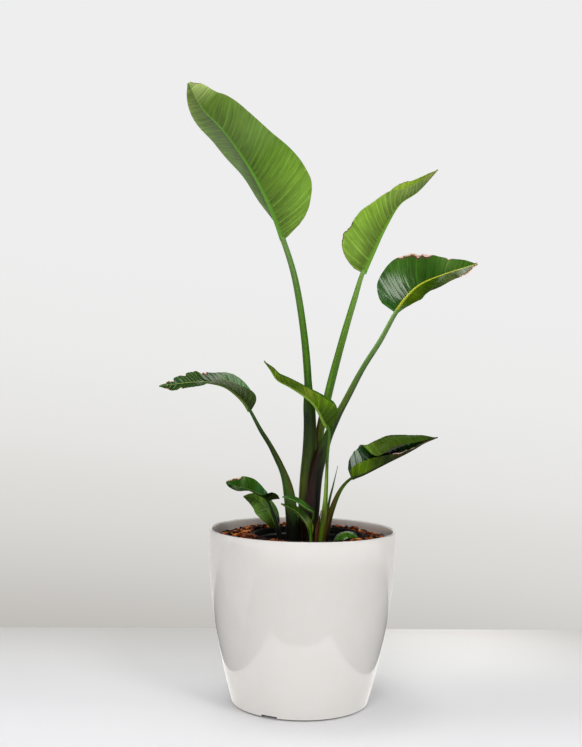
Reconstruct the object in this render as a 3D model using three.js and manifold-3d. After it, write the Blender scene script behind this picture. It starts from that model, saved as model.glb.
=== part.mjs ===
// A potted bird of paradise: a young clump of long-stalked, paddle-shaped leaves growing in a black
// nursery pot, which stands in a glossy white planter and is bedded all round in bark chips.
// Millimetres, +Z up. The origin is on the floor under the planter's axis. -Y is the front of the
// plant and +X is to its right.
import * as THREE from "three";
import { mergeVertices } from "three/addons/utils/BufferGeometryUtils.js";
import Module from "manifold-3d";

const wasm = await Module();
wasm.setup();

// Clearance between pieces that touch
const GAP = 0.3;

// The planter: a moulded shell, 350 mm across its mouth, that narrows in one bulging curve to its foot
const PLANTER_HEIGHT = 322;
const PLANTER_RIM_RADIUS = 175;
const PLANTER_FOOT_RADIUS = 126;
const PLANTER_WIDEST_HEIGHT = 290;
const PLANTER_BULGE = 1.7;
const PLANTER_WALL = 4;
const PLANTER_FLOOR = 12;
const PLANTER_LIP_WIDTH = 6;
const PLANTER_SIDES = 48;
// The flat pad that carries the planter stands proud of the shell's edge, so a shadow line shows below it
const FOOT_PAD_RADIUS = 116;
const FOOT_SHADOW_GAP = 2.5;
const FOOT_GROOVE_DEPTH = 6;
// The overflow slot at the shell's lower edge, turned to the left of the front
const OVERFLOW_WIDTH = 32;
const OVERFLOW_HEIGHT = 3.6;
const OVERFLOW_TURN_DEG = 27;

// The nursery pot: thin black plastic, a little to the right of the planter's axis
const NURSERY_X = 11;
const NURSERY_RIM_TOP = 313;
const NURSERY_HEIGHT = 196;
const NURSERY_RIM_RADIUS = 104;
const NURSERY_TOP_RADIUS = 100;
const NURSERY_FOOT_RADIUS = 76;
const NURSERY_WALL = 2;
const NURSERY_RIM_DEPTH = 14;
const NURSERY_SIDES = 40;
const DRAIN_HOLES = 6;
const DRAIN_HOLE_RADIUS = 7;

// The bark bed round the nursery pot: heaped against its rim, and lower along the planter's wall
const BARK_AT_RIM = 314;
const BARK_AT_WALL = 299;
const BARK_CHIPS = 54;
const BARK_SEED = 11;

// The potting soil
const SOIL_TOP = 287;
const SOIL_SIDES = 32;
const SOIL_CLODS = 12;
const SOIL_SEED = 5;

const V = (x, y, z) => new THREE.Vector3(x, y, z);
const toRadians = (degrees) => (degrees * Math.PI) / 180;

// A seeded random number between 0 and 1 at each call
function seededRandom(seed) {
  let state = seed;
  return () => {
    state = (state * 16807) % 2147483647;
    return state / 2147483647;
  };
}

// A value that runs smoothly through three given ones: at the base, the middle and the tip
function threeStage([base, middle, tip], t) {
  return base * (1 - t) * (1 - 2 * t) + middle * 4 * t * (1 - t) + tip * t * (2 * t - 1);
}

function threeStageVector(stages, t) {
  return V(...[0, 1, 2].map((axis) => threeStage(stages.map((p) => p[axis]), t)));
}

// Closed geometry to a manifold-3d solid, and back
function solidOf(geometry) {
  const bare = geometry.clone();
  bare.deleteAttribute("normal");
  bare.deleteAttribute("uv");
  const merged = mergeVertices(bare, 1e-3);
  return new wasm.Manifold(
    new wasm.Mesh({
      numProp: 3,
      vertProperties: merged.attributes.position.array,
      triVerts: new Uint32Array(merged.index.array),
    }),
  );
}

function geometryOf(solid) {
  const mesh = solid.getMesh();
  const position = new Float32Array(mesh.numVert * 3);
  for (let i = 0; i < mesh.numVert; i++) {
    position.set(mesh.vertProperties.subarray(i * mesh.numProp, i * mesh.numProp + 3), i * 3);
  }
  return new THREE.BufferGeometry()
    .setAttribute("position", new THREE.BufferAttribute(position, 3))
    .setIndex(new THREE.BufferAttribute(new Uint32Array(mesh.triVerts), 1));
}

// The largest body of a solid, without the loose scraps that a cut leaves
function largestBody(solid) {
  return solid.decompose().sort((a, b) => b.volume() - a.volume())[0];
}

// A profile of [radius, height] points turned about the Z axis
function turned(profile, sides) {
  const lathe = new THREE.LatheGeometry(
    profile.map(([r, z]) => new THREE.Vector2(r, z)),
    sides,
  );
  lathe.rotateX(Math.PI / 2);
  return lathe;
}

function quarterRound(centreR, centreZ, radius, fromDeg, toDeg, steps) {
  return Array.from({ length: steps + 1 }, (_, i) => {
    const angle = toRadians(fromDeg + ((toDeg - fromDeg) * i) / steps);
    return [centreR + radius * Math.cos(angle), centreZ + radius * Math.sin(angle)];
  });
}

// Outer radius of the planter's shell at a height
function planterRadius(z) {
  const rise = Math.min(1, z / PLANTER_WIDEST_HEIGHT);
  const spread = PLANTER_RIM_RADIUS - PLANTER_FOOT_RADIUS;
  return PLANTER_FOOT_RADIUS + spread * (1 - (1 - rise) ** PLANTER_BULGE);
}

function planterInnerRadius(z) {
  return planterRadius(z) - PLANTER_WALL;
}

// The planter's inside from its lip down to its floor, drawn in by a clearance
function planterInside(clearance) {
  const lip = [PLANTER_RIM_RADIUS - PLANTER_LIP_WIDTH - clearance, PLANTER_HEIGHT - 12];
  const wall = [300, 235, 165, 95, 40, PLANTER_FLOOR + clearance];
  return [lip, ...wall.map((z) => [planterInnerRadius(z) - clearance, z])];
}

function planterSolid() {
  const lipRadius = PLANTER_LIP_WIDTH / 2;
  const lipCentreR = PLANTER_RIM_RADIUS - lipRadius;
  const lipCentreZ = PLANTER_HEIGHT - lipRadius;
  const wallHeights = [FOOT_SHADOW_GAP, 18, 48, 92, 148, 210, 270];
  const profile = [
    [0, 0],
    [FOOT_PAD_RADIUS, 0],
    [FOOT_PAD_RADIUS, FOOT_GROOVE_DEPTH],
    [planterInnerRadius(0), FOOT_GROOVE_DEPTH],
    [planterInnerRadius(0), FOOT_SHADOW_GAP],
    ...wallHeights.map((z) => [planterRadius(z), z]),
    ...quarterRound(lipCentreR, lipCentreZ, lipRadius, 0, 180, 4),
    ...planterInside(0),
    [0, PLANTER_FLOOR],
  ];
  const slot = new THREE.BoxGeometry(OVERFLOW_WIDTH, 20, OVERFLOW_HEIGHT + FOOT_SHADOW_GAP);
  slot.translate(0, -PLANTER_FOOT_RADIUS, (OVERFLOW_HEIGHT + FOOT_SHADOW_GAP) / 2 - 0.5);
  slot.rotateZ(-toRadians(OVERFLOW_TURN_DEG));
  return solidOf(turned(profile, PLANTER_SIDES)).subtract(solidOf(slot));
}

// The nursery pot's outer shape, grown by a clearance, as a profile from its foot to its rolled rim
function nurseryOutline(grow) {
  const foot = NURSERY_RIM_TOP - NURSERY_HEIGHT;
  return [
    [0, foot - grow],
    [NURSERY_FOOT_RADIUS + grow, foot - grow],
    [NURSERY_TOP_RADIUS + grow, NURSERY_RIM_TOP - NURSERY_RIM_DEPTH - grow],
    [NURSERY_RIM_RADIUS + grow, NURSERY_RIM_TOP - NURSERY_RIM_DEPTH - grow],
    [NURSERY_RIM_RADIUS + grow, NURSERY_RIM_TOP - 1.5],
    [NURSERY_RIM_RADIUS + grow - 1.5, NURSERY_RIM_TOP + grow],
  ];
}

// Inner radius of the nursery pot's wall at a height
function nurseryInnerRadius(z) {
  const foot = NURSERY_RIM_TOP - NURSERY_HEIGHT;
  const share = (z - foot) / (NURSERY_HEIGHT - NURSERY_RIM_DEPTH);
  const outer = NURSERY_FOOT_RADIUS + (NURSERY_TOP_RADIUS - NURSERY_FOOT_RADIUS) * share;
  return outer - NURSERY_WALL;
}

function nurserySolid() {
  const floor = NURSERY_RIM_TOP - NURSERY_HEIGHT + NURSERY_WALL;
  const neck = NURSERY_RIM_TOP - NURSERY_RIM_DEPTH + NURSERY_WALL;
  const profile = [
    ...nurseryOutline(0),
    [NURSERY_RIM_RADIUS - NURSERY_WALL, NURSERY_RIM_TOP],
    [NURSERY_RIM_RADIUS - NURSERY_WALL, neck],
    [nurseryInnerRadius(neck - 2), neck - 2],
    [nurseryInnerRadius(floor), floor],
    [0, floor],
  ];
  let pot = solidOf(turned(profile, NURSERY_SIDES));
  for (let i = 0; i < DRAIN_HOLES; i++) {
    const hole = new THREE.CylinderGeometry(DRAIN_HOLE_RADIUS, DRAIN_HOLE_RADIUS, 12, 8);
    hole.rotateX(Math.PI / 2);
    hole.translate(NURSERY_FOOT_RADIUS * 0.68, 0, floor);
    hole.rotateZ((i / DRAIN_HOLES) * 2 * Math.PI);
    pot = pot.subtract(solidOf(hole));
  }
  return pot.translate([NURSERY_X, 0, 0]);
}

// A split of bark: a box with its ends drawn in askew, so that no two lie alike
function barkChip(random, length, width, thickness) {
  const chip = new THREE.BoxGeometry(length, width, thickness);
  const position = chip.attributes.position;
  const endScale = [0.45 + 0.5 * random(), 0.45 + 0.5 * random()];
  const skew = (random() - 0.5) * width * 0.6;
  for (let i = 0; i < position.count; i++) {
    const end = position.getX(i) > 0 ? 0 : 1;
    position.setY(i, position.getY(i) * endScale[end] + (end ? skew : -skew));
    position.setZ(i, position.getZ(i) * (0.6 + 0.4 * endScale[1 - end]));
  }
  return chip;
}

function barkHeight(radius) {
  const inner = NURSERY_RIM_RADIUS;
  const share = Math.min(1, Math.max(0, (radius - inner) / (planterInnerRadius(BARK_AT_WALL) - inner)));
  return BARK_AT_RIM + (BARK_AT_WALL - BARK_AT_RIM) * share ** 1.4;
}

function barkSolid() {
  const random = seededRandom(BARK_SEED);
  const ringRadii = [158, 144, 130, 116];
  // The bed sits a chip's thickness below the heap's height, and the chips stand out of it
  const sunk = 4;
  const bed = turned(
    [
      [0, PLANTER_FLOOR + GAP],
      ...planterInside(GAP).slice(2).reverse(),
      [planterInnerRadius(BARK_AT_WALL) - 3, BARK_AT_WALL - sunk],
      ...ringRadii.map((r) => [r, barkHeight(r) - sunk]),
      [0, BARK_AT_RIM - sunk],
    ],
    PLANTER_SIDES,
  );
  const chips = [];
  for (let i = 0; i < BARK_CHIPS; i++) {
    // Golden-angle steps spread the chips evenly round the ring
    const angle = i * 2.39996 + 0.2 * random();
    const across = (i * 0.618) % 1;
    const radius = NURSERY_RIM_RADIUS + 4 + across * 56;
    const chip = barkChip(random, 13 + 12 * random(), 8 + 6 * random(), 5 + 3 * random());
    chip.rotateX((random() - 0.5) * 1.2);
    chip.rotateY((random() - 0.5) * 0.9);
    chip.rotateZ(random() * Math.PI);
    const x = NURSERY_X * (1 - across) + radius * Math.cos(angle);
    const y = radius * Math.sin(angle);
    chip.translate(x, y, barkHeight(Math.hypot(x, y)) - 2.5 + 2 * random());
    chips.push(solidOf(chip));
  }
  const heap = wasm.Manifold.union([solidOf(bed), ...chips]);
  // The room between the two pots, which no chip leaves
  const room = solidOf(
    turned(
      [
        [0, PLANTER_FLOOR + GAP],
        ...planterInside(GAP).reverse(),
        [PLANTER_RIM_RADIUS - PLANTER_LIP_WIDTH - GAP, PLANTER_HEIGHT + 10],
        [0, PLANTER_HEIGHT + 10],
      ],
      PLANTER_SIDES,
    ),
  );
  const nurseryRoom = solidOf(
    turned(
      [...nurseryOutline(GAP).slice(0, 5), [NURSERY_RIM_RADIUS + GAP, 400], [0, 400]],
      NURSERY_SIDES,
    ),
  ).translate([NURSERY_X, 0, 0]);
  return largestBody(heap.intersect(room).subtract(nurseryRoom));
}

// Leaves. Each grows in one piece: a stalk that sheathes the heart of the clump, and a blade on either side
// of the midrib that carries the stalk's line on.
// stalk, rib: points of the centreline, from the soil to the blade and from there to the tip.
// girth: half thickness of the stalk across and through its upper side, as [share of its length, across, through].
// facing: the way the upper side faces, at the foot, where the blade starts, at mid-blade and at the tip.
// breadth: half width of the left and the right half of the blade, seen from above with the tip ahead, as
// [share of the blade, left, right].
// fold, curl: the angles in degrees at which each half rises from the midrib and turns over towards its edge,
// as [share of the blade, left, right].
// lobe: how far each half reaches back beside the stalk, as a share of the blade.
// wave: height and count of the waves along an edge.
// torn: bites out of an edge, as [side, place along the blade, reach, depth]; side is 1 for the left half.
const LEAVES = [
  {
    name: "leaf_tall_left",
    stalk: [
      [6, 8, 269],
      [5, 6, 337],
      [7, 4, 412],
      [12, 2, 488],
      [8, 0, 573],
      [-3, -2, 685],
      [-23, -6, 794],
      [-45, -10, 861],
    ],
    rib: [
      [-73, -14, 928],
      [-111, -20, 994],
      [-163, -28, 1061],
      [-202, -33, 1099],
      [-228, -36, 1144],
    ],
    girth: [
      [0, 12, 14],
      [0.33, 12, 14],
      [0.5, 8, 7.5],
      [0.75, 7, 6.6],
      [1, 5.6, 5.2],
    ],
    facing: [
      [1, 0, 0],
      [0.745, 0.63, 0.22],
      [0.56, 0.73, 0.41],
      [0.42, 0.72, 0.56],
    ],
    breadth: [
      [0, 6, 6],
      [0.03, 22, 20],
      [0.06, 44, 36],
      [0.13, 70, 60],
      [0.25, 91, 84],
      [0.34, 89, 90],
      [0.42, 82, 92],
      [0.52, 70, 88],
      [0.65, 60, 76],
      [0.8, 49, 59],
      [0.9, 35, 38],
      [0.96, 22, 21],
      [1, 5, 5],
    ],
    fold: [
      [0, 45, 52],
      [0.5, 36, 41],
      [1, 28, 18],
    ],
    curl: [
      [0, -10, -10],
      [1, 0, 0],
    ],
    lobe: [0, 0],
    wave: [2, 2.5],
    torn: [],
    rows: 22,
    across: 3,
  },
  {
    name: "leaf_tall_middle",
    stalk: [
      [19, 16, 268],
      [21, 18, 374],
      [27, 20, 487],
      [44, 22, 577],
      [67, 24, 678],
      [89, 25, 759],
      [104, 26, 806],
    ],
    rib: [
      [125, 26, 851],
      [147, 24, 897],
      [174, 18, 940],
      [206, 8, 961],
      [243, -6, 1000],
    ],
    girth: [
      [0, 12, 11],
      [0.4, 10, 9],
      [0.7, 7, 7.5],
      [1, 4.5, 4.5],
    ],
    facing: [
      [-1, 0, 0],
      [-0.88, 0.05, 0.475],
      [-0.79, -0.12, 0.6],
      [-0.67, -0.28, 0.69],
    ],
    breadth: [
      [0, 8, 12],
      [0.03, 26, 34],
      [0.07, 46, 57],
      [0.2, 66, 82],
      [0.38, 60, 82],
      [0.52, 52, 68],
      [0.62, 46, 58],
      [0.72, 42, 44],
      [0.83, 28, 31],
      [0.92, 14, 17],
      [1, 2, 2],
    ],
    fold: [
      [0, 40, 56],
      [0.5, 32, 40],
      [1, 34, 32],
    ],
    curl: [
      [0, 0, 0],
      [1, 0, 0],
    ],
    lobe: [0, 0.01],
    wave: [1.5, 2],
    torn: [],
    rows: 20,
    across: 3,
  },
  {
    name: "leaf_upper_right",
    stalk: [
      [13, -10, 272],
      [17, -10, 349],
      [26, -10, 442],
      [54, -12, 519],
      [77.5, -14, 566],
      [107.5, -18, 625],
      [139, -24, 677],
      [165, -30, 727],
    ],
    rib: [
      [183, -34, 754],
      [207, -40, 778],
      [251, -52, 798],
      [310, -66, 817],
    ],
    girth: [
      [0, 9, 14],
      [0.36, 9, 14],
      [0.5, 8, 8.5],
      [0.6, 6.4, 6.4],
      [0.78, 5.1, 5],
      [1, 4.2, 4.2],
    ],
    facing: [
      [-1, 0, 0],
      [-0.44, -0.81, 0.39],
      [-0.31, -0.67, 0.68],
      [-0.23, -0.63, 0.74],
    ],
    breadth: [
      [0, 26, 18],
      [0.03, 37, 28],
      [0.07, 47, 41],
      [0.14, 60, 56],
      [0.24, 68, 68],
      [0.34, 74, 77],
      [0.43, 71, 75],
      [0.53, 60, 60],
      [0.65, 47, 44],
      [0.76, 34, 34],
      [0.88, 20, 25],
      [1, 4, 4],
    ],
    fold: [
      [0, 36, 46],
      [0.2, 28, 36],
      [0.35, 22, 26],
      [0.5, 18, 23],
      [1, 5, 0],
    ],
    curl: [
      [0, 0, 0],
      [1, 0, 0],
    ],
    lobe: [0, 0],
    wave: [2, 2.5],
    torn: [
      [1, 0.28, 0.05, 0.1],
      [1, 0.37, 0.05, 0.14],
      [1, 0.46, 0.04, 0.08],
    ],
    rows: 22,
    across: 3,
  },
  {
    name: "leaf_front_shoot",
    stalk: [
      [33, -32, 276],
      [34, -33, 315],
      [39, -35, 380],
      [42, -38, 454],
      [45, -42, 511],
    ],
    rib: [
      [38, -43, 522],
      [29, -44, 539],
      [17, -46, 557],
      [0, -48, 571],
      [-28, -51, 588],
      [-51, -55, 600],
      [-63, -58, 617],
      [-76, -61, 634],
    ],
    girth: [
      [0, 5, 6],
      [0.5, 3.5, 3.6],
      [1, 3, 3],
    ],
    facing: [
      [1, 0, 0],
      [0.9, -0.1, 0.4],
      [0.6, 0, 0.8],
      [0.9, 0, 0.4],
    ],
    breadth: [
      [0, 6, 8],
      [0.03, 17, 14],
      [0.07, 29, 22],
      [0.14, 38, 34],
      [0.2, 36, 36],
      [0.3, 24, 26],
      [0.42, 18, 19],
      [0.6, 15, 16],
      [0.75, 13, 15],
      [0.88, 8, 9],
      [1, 1.5, 1.5],
    ],
    fold: [
      [0, 55, 60],
      [0.5, 60, 64],
      [1, 50, 50],
    ],
    curl: [
      [0, 10, 10],
      [0.5, 10, 10],
      [1, 0, 0],
    ],
    lobe: [0, 0],
    wave: [0.3, 1],
    torn: [],
    rows: 16,
    across: 3,
  },
  {
    name: "leaf_low_left",
    stalk: [
      [-17, -2, 270],
      [-20, -4, 347],
      [-31.5, -8, 413],
      [-59, -14, 472],
      [-81, -18, 507],
      [-100, -22, 541],
    ],
    rib: [
      [-111.5, -24, 558],
      [-126.5, -26, 572.5],
      [-148, -29, 586.5],
      [-174, -32, 592.5],
      [-198, -35, 593],
      [-235, -37, 589],
      [-270, -38, 584],
    ],
    girth: [
      [0, 9, 13],
      [0.35, 9, 12],
      [0.6, 7, 6.8],
      [0.75, 5.4, 5.2],
      [1, 3.8, 3.6],
    ],
    facing: [
      [1, 0, 0],
      [0.8, 0.05, 0.6],
      [0.2, -0.165, 0.97],
      [-0.05, -0.165, 1],
    ],
    breadth: [
      [0, 3, 4],
      [0.03, 16, 10],
      [0.07, 36, 23],
      [0.13, 51, 37],
      [0.25, 53, 43],
      [0.4, 46, 40],
      [0.5, 44, 34],
      [0.65, 36, 28],
      [0.78, 30, 25],
      [0.9, 18, 14],
      [1, 2, 2],
    ],
    fold: [
      [0, 34, 36],
      [0.2, 28, 32],
      [0.5, 14, 26],
      [0.75, -10, 34],
      [1, -20, 30],
    ],
    curl: [
      [0, 0, 0],
      [1, 0, 0],
    ],
    lobe: [0, 0],
    wave: [2.5, 3],
    torn: [
      [-1, 0.5, 0.03, 0.2],
      [-1, 0.68, 0.03, 0.25],
      [-1, 0.84, 0.035, 0.45],
      [1, 0.72, 0.03, 0.25],
    ],
    rows: 24,
    across: 3,
  },
  {
    name: "leaf_low_right",
    stalk: [
      [41, -18, 274],
      [44, -20, 313],
      [53, -24, 360],
      [70, -30, 401],
      [88, -36, 421],
    ],
    rib: [
      [109, -38, 430],
      [137, -40, 444],
      [160, -43, 456],
      [184, -46, 468],
      [202, -48, 478],
      [220, -50, 489],
      [245, -52, 500],
    ],
    girth: [
      [0, 5, 6.5],
      [0.5, 5, 6],
      [1, 3, 3],
    ],
    facing: [
      [-1, 0, 0],
      [-0.5, 0, 0.87],
      [-0.42, 0, 0.9],
      [-0.42, 0, 0.9],
    ],
    breadth: [
      [0, 14, 10],
      [0.05, 36, 20],
      [0.115, 50, 24],
      [0.2, 59, 26],
      [0.28, 67, 26],
      [0.45, 69, 24],
      [0.6, 56, 19],
      [0.75, 31, 13],
      [0.88, 12, 8],
      [1, 2, 2],
    ],
    fold: [
      [0, 75, 62],
      [0.25, 75, 55],
      [0.45, 74, 35],
      [0.7, 62, 25],
      [1, 50, 20],
    ],
    curl: [
      [0, 0, 0],
      [0.14, 0, 0],
      [0.32, 175, 0],
      [0.5, 212, 0],
      [0.75, 190, 0],
      [1, 60, 0],
    ],
    lobe: [0, 0],
    wave: [1, 2],
    torn: [
      [-1, 0.5, 0.05, 0.2],
      [-1, 0.64, 0.04, 0.3],
    ],
    rows: 19,
    across: 6,
  },
  {
    name: "leaf_sprout_left",
    stalk: [
      [-37, -14, 269],
      [-42, -16, 309],
      [-53, -20, 347],
      [-64, -24, 374],
    ],
    rib: [
      [-71, -25, 382],
      [-85, -27, 389],
      [-102, -29, 396],
      [-121, -31, 400],
      [-143, -33, 409],
    ],
    girth: [
      [0, 5.5, 6],
      [0.5, 4.5, 4.5],
      [1, 2.2, 2.2],
    ],
    facing: [
      [1, 0, 0],
      [0.85, 0, 0.5],
      [0.1, 0, 1],
      [0.3, 0, 0.95],
    ],
    breadth: [
      [0, 22, 2],
      [0.05, 23, 5],
      [0.12, 21, 10],
      [0.2, 19, 14],
      [0.3, 19, 19],
      [0.5, 19, 24],
      [0.7, 19, 23],
      [0.88, 15, 16],
      [0.96, 9, 9],
      [1, 3, 3],
    ],
    fold: [
      [0, 72, 60],
      [0.08, 60, 60],
      [0.2, 10, 62],
      [0.5, -6, 62],
      [0.75, -22, 58],
      [1, -20, 40],
    ],
    curl: [
      [0, 0, 0],
      [1, 0, 0],
    ],
    lobe: [0.06, 0],
    wave: [0.8, 1.5],
    torn: [],
    rows: 13,
    across: 3,
  },
  {
    name: "leaf_sprout_behind",
    stalk: [
      [-41, 4, 274],
      [-45, 3, 304],
      [-50, 2, 321],
    ],
    rib: [
      [-57, 1, 338],
      [-67, 0, 355],
      [-82, -1, 371],
      [-97, -2, 380],
      [-112, -4, 385],
    ],
    girth: [
      [0, 3.5, 3.5],
      [1, 2, 2],
    ],
    facing: [
      [1, 0, 0],
      [0.3, -0.85, 0.3],
      [0.3, -0.85, 0.3],
      [0.3, -0.85, 0.3],
    ],
    breadth: [
      [0, 7, 6],
      [0.1, 15, 11],
      [0.3, 24, 17],
      [0.5, 27, 18],
      [0.75, 18, 12],
      [0.92, 8, 5],
      [1, 1.5, 1.5],
    ],
    fold: [
      [0, 25, 25],
      [0.5, 20, 20],
      [1, 10, 10],
    ],
    curl: [
      [0, 0, 0],
      [1, 0, 0],
    ],
    lobe: [0, 0],
    wave: [0.6, 1.5],
    torn: [],
    rows: 11,
    across: 3,
  },
  {
    name: "leaf_sprout_front",
    stalk: [
      [18, -46, 278],
      [17, -48, 308],
      [16, -50, 335],
      [20, -54, 357],
    ],
    rib: [
      [6, -58, 366],
      [-14, -62, 380],
      [-38, -66, 387],
    ],
    girth: [
      [0, 2.5, 2.5],
      [1, 1.6, 1.6],
    ],
    facing: [
      [1, 0, 0],
      [0.4, -0.4, 0.8],
      [0.4, -0.4, 0.8],
      [0.4, -0.4, 0.8],
    ],
    breadth: [
      [0, 5, 5],
      [0.1, 9, 9],
      [0.35, 14, 14],
      [0.7, 11, 11],
      [0.9, 6, 6],
      [1, 1.5, 1.5],
    ],
    fold: [
      [0, 30, 30],
      [0.5, 25, 25],
      [1, 20, 20],
    ],
    curl: [
      [0, 0, 0],
      [1, 0, 0],
    ],
    lobe: [0, 0],
    wave: [0.4, 1.5],
    torn: [],
    rows: 9,
    across: 2,
  },
  {
    name: "leaf_sprout_front_low",
    stalk: [
      [17, -40, 277],
      [15, -42, 297],
      [14, -44, 317],
    ],
    rib: [
      [6, -48, 338],
      [-12, -52, 359],
      [-40, -58, 374],
    ],
    girth: [
      [0, 2.5, 2.5],
      [1, 1.8, 1.8],
    ],
    facing: [
      [1, 0, 0],
      [0.5, -0.6, 0.5],
      [0.5, -0.6, 0.5],
      [0.5, -0.6, 0.5],
    ],
    breadth: [
      [0, 5, 5],
      [0.1, 10, 10],
      [0.3, 17, 16],
      [0.6, 13, 13],
      [0.85, 7, 7],
      [1, 1.5, 1.5],
    ],
    fold: [
      [0, 40, 40],
      [0.5, 35, 35],
      [1, 20, 20],
    ],
    curl: [
      [0, 0, 0],
      [1, 0, 0],
    ],
    lobe: [0, 0],
    wave: [0.4, 1.5],
    torn: [],
    rows: 9,
    across: 2,
  },
  {
    name: "leaf_sprout_right",
    stalk: [
      [50, -22, 275],
      [54, -24, 290],
      [60, -26, 303],
    ],
    rib: [
      [70, -26, 315],
      [85, -26, 320],
      [97, -26, 315],
      [104, -26, 305],
    ],
    girth: [
      [0, 2.8, 2.8],
      [1, 2, 2],
    ],
    facing: [
      [-1, 0, 0],
      [-0.7, -0.3, 0.6],
      [0, -0.3, 1],
      [0.7, -0.3, 0.6],
    ],
    breadth: [
      [0, 6, 6],
      [0.1, 10, 10],
      [0.35, 14, 14],
      [0.7, 12, 12],
      [0.9, 6, 6],
      [1, 1.5, 1.5],
    ],
    fold: [
      [0, 0, -20],
      [0.5, -10, -20],
      [1, 0, -10],
    ],
    curl: [
      [0, -20, -20],
      [0.5, -20, -30],
      [1, 0, 0],
    ],
    lobe: [0, 0],
    wave: [0.4, 1.5],
    torn: [],
    rows: 9,
    across: 2,
  },
];

// Pieces of the clump that bear no blade: a new leaf still rolled to a spike, and a dry bract at the clump's foot
const LEAFLESS = [
  {
    name: "rolled_new_leaf",
    stalk: [
      [38, -2, 276],
      [45, -4, 330],
      [49, -6, 374],
      [56, -7, 405],
      [64, -8, 441],
    ],
    rib: [],
    girth: [
      [0, 3.5, 3.5],
      [0.6, 2.6, 2.6],
      [1, 0.6, 0.6],
    ],
    facing: [
      [-1, 0, 0],
      [-1, 0, 0],
    ],
  },
  {
    name: "dry_bract",
    stalk: [
      [27, -24.5, 276],
      [27, -25, 310],
      [28, -26, 328],
      [34, -27, 360],
    ],
    rib: [],
    girth: [
      [0, 2, 5],
      [0.5, 1.4, 4.6],
      [1, 0.5, 0.8],
    ],
    facing: [
      [-1, 0, 0],
      [-1, 0, 0],
    ],
  },
];

const smooth = (x) => x * x * (3 - 2 * x);

// The leaf's centreline, and the share of its length at which the blade starts
function centreline(leaf) {
  const points = [...leaf.stalk, ...leaf.rib].map((p) => V(...p));
  const curve = new THREE.CatmullRomCurve3(points, false, "centripetal");
  const lengths = curve.getLengths(600);
  const joint = lengths[Math.round((600 * (leaf.stalk.length - 1)) / (points.length - 1))] / lengths[600];
  return { curve, joint, length: lengths[600] };
}

// A point of the centreline with the directions along it, to the left, and up from its upper side
function leafFrame(curve, share, facing) {
  const along = curve.getTangentAt(Math.min(Math.max(share, 0.001), 0.999));
  const up = facing.clone().addScaledVector(along, -facing.dot(along)).normalize();
  const left = new THREE.Vector3().crossVectors(up, along);
  return { at: curve.getPointAt(Math.min(Math.max(share, 0), 1)), along, up, left };
}

// A closed skin over rings of points, each ring with the same count, closed at both ends
function skin(rings) {
  const count = rings[0].length;
  const position = rings.flat().flatMap((p) => [p.x, p.y, p.z]);
  const index = [];
  for (let i = 0; i + 1 < rings.length; i++) {
    for (let j = 0; j < count; j++) {
      const a = i * count + j;
      const b = i * count + ((j + 1) % count);
      index.push(a, b, b + count, a, b + count, a + count);
    }
  }
  return { position, index, count, rings: rings.length };
}

function skinGeometry({ position, index }) {
  return new THREE.BufferGeometry()
    .setAttribute("position", new THREE.BufferAttribute(new Float32Array(position), 3))
    .setIndex(index);
}

// A ring closed by a fan from its first point
function fanCap(body, ring, forward) {
  const first = ring * body.count;
  for (let j = 1; j + 1 < body.count; j++) {
    if (forward) body.index.push(first, first + j, first + j + 1);
    else body.index.push(first, first + j + 1, first + j);
  }
}

// The stalk's half thickness across and through at a share of its length
function girthAt(girth, t) {
  const next = Math.max(1, girth.findIndex(([share]) => share >= t));
  const [s0, a0, d0] = girth[next - 1];
  const [s1, a1, d1] = girth[next];
  const mix = smooth(Math.min(1, (t - s0) / (s1 - s0)));
  return [a0 + (a1 - a0) * mix, d0 + (d1 - d0) * mix];
}

// Rings and corners that a stalk is made with: more on the long stalks and round the broad sheaths
const stalkSteps = (length) => Math.max(6, Math.round(length / 44));
const stalkCorners = (leaf) => (leaf.girth[0][2] > 6.4 ? 10 : 8);
// Depth of the channel along a stalk's upper side, as a share of its thickness, which the sheathing foot loses
const STALK_CHANNEL = 0.45;
// How far the stalk runs on into the midrib
const STALK_INTO_BLADE = 7;

// A stalk grown all round by a clearance, so that it can also cut the hole or the clasp that it stands in
function stalkSolid(leaf, grow = 0) {
  const { curve, joint, length } = centreline(leaf);
  const runOn = leaf.rib.length ? STALK_INTO_BLADE / length : 0;
  const steps = stalkSteps(joint * length);
  const corners = stalkCorners(leaf);
  const rings = [];
  for (let i = 0; i <= steps; i++) {
    const t = i / steps;
    const [across, through] = girthAt(leaf.girth, t);
    const facing = V(...leaf.facing[0]).lerp(V(...leaf.facing[1]), smooth(t));
    const frame = leafFrame(curve, (joint + runOn) * t, facing);
    if (i === 0) frame.at.addScaledVector(frame.along, -grow);
    if (i === steps) frame.at.addScaledVector(frame.along, grow);
    const ring = [];
    for (let j = 0; j < corners; j++) {
      const angle = (2 * Math.PI * (j + 0.5)) / corners;
      const side = Math.cos(angle) * (across + grow);
      const height = Math.sin(angle) * (through + grow);
      const channel = grow ? 0 : STALK_CHANNEL * t * through * Math.max(0, Math.sin(angle)) ** 4;
      ring.push(
        frame.at.clone().addScaledVector(frame.left, side).addScaledVector(frame.up, height - channel),
      );
    }
    rings.push(ring);
  }
  const body = skin(rings);
  fanCap(body, 0, false);
  fanCap(body, rings.length - 1, true);
  return solidOf(skinGeometry(body));
}

const BLADE_THICKNESS = 1;
// How far forward a side vein runs before it meets the edge, as a share of the blade, and how it bends
const VEIN_SWEEP = 0.5;
const VEIN_BEND = 1.35;
// How late a half turns over on its way to the edge
const CURL_BEND = 2.5;
// Height of the pleats between side veins
const VEIN_RIDGE = 0.4;

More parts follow.
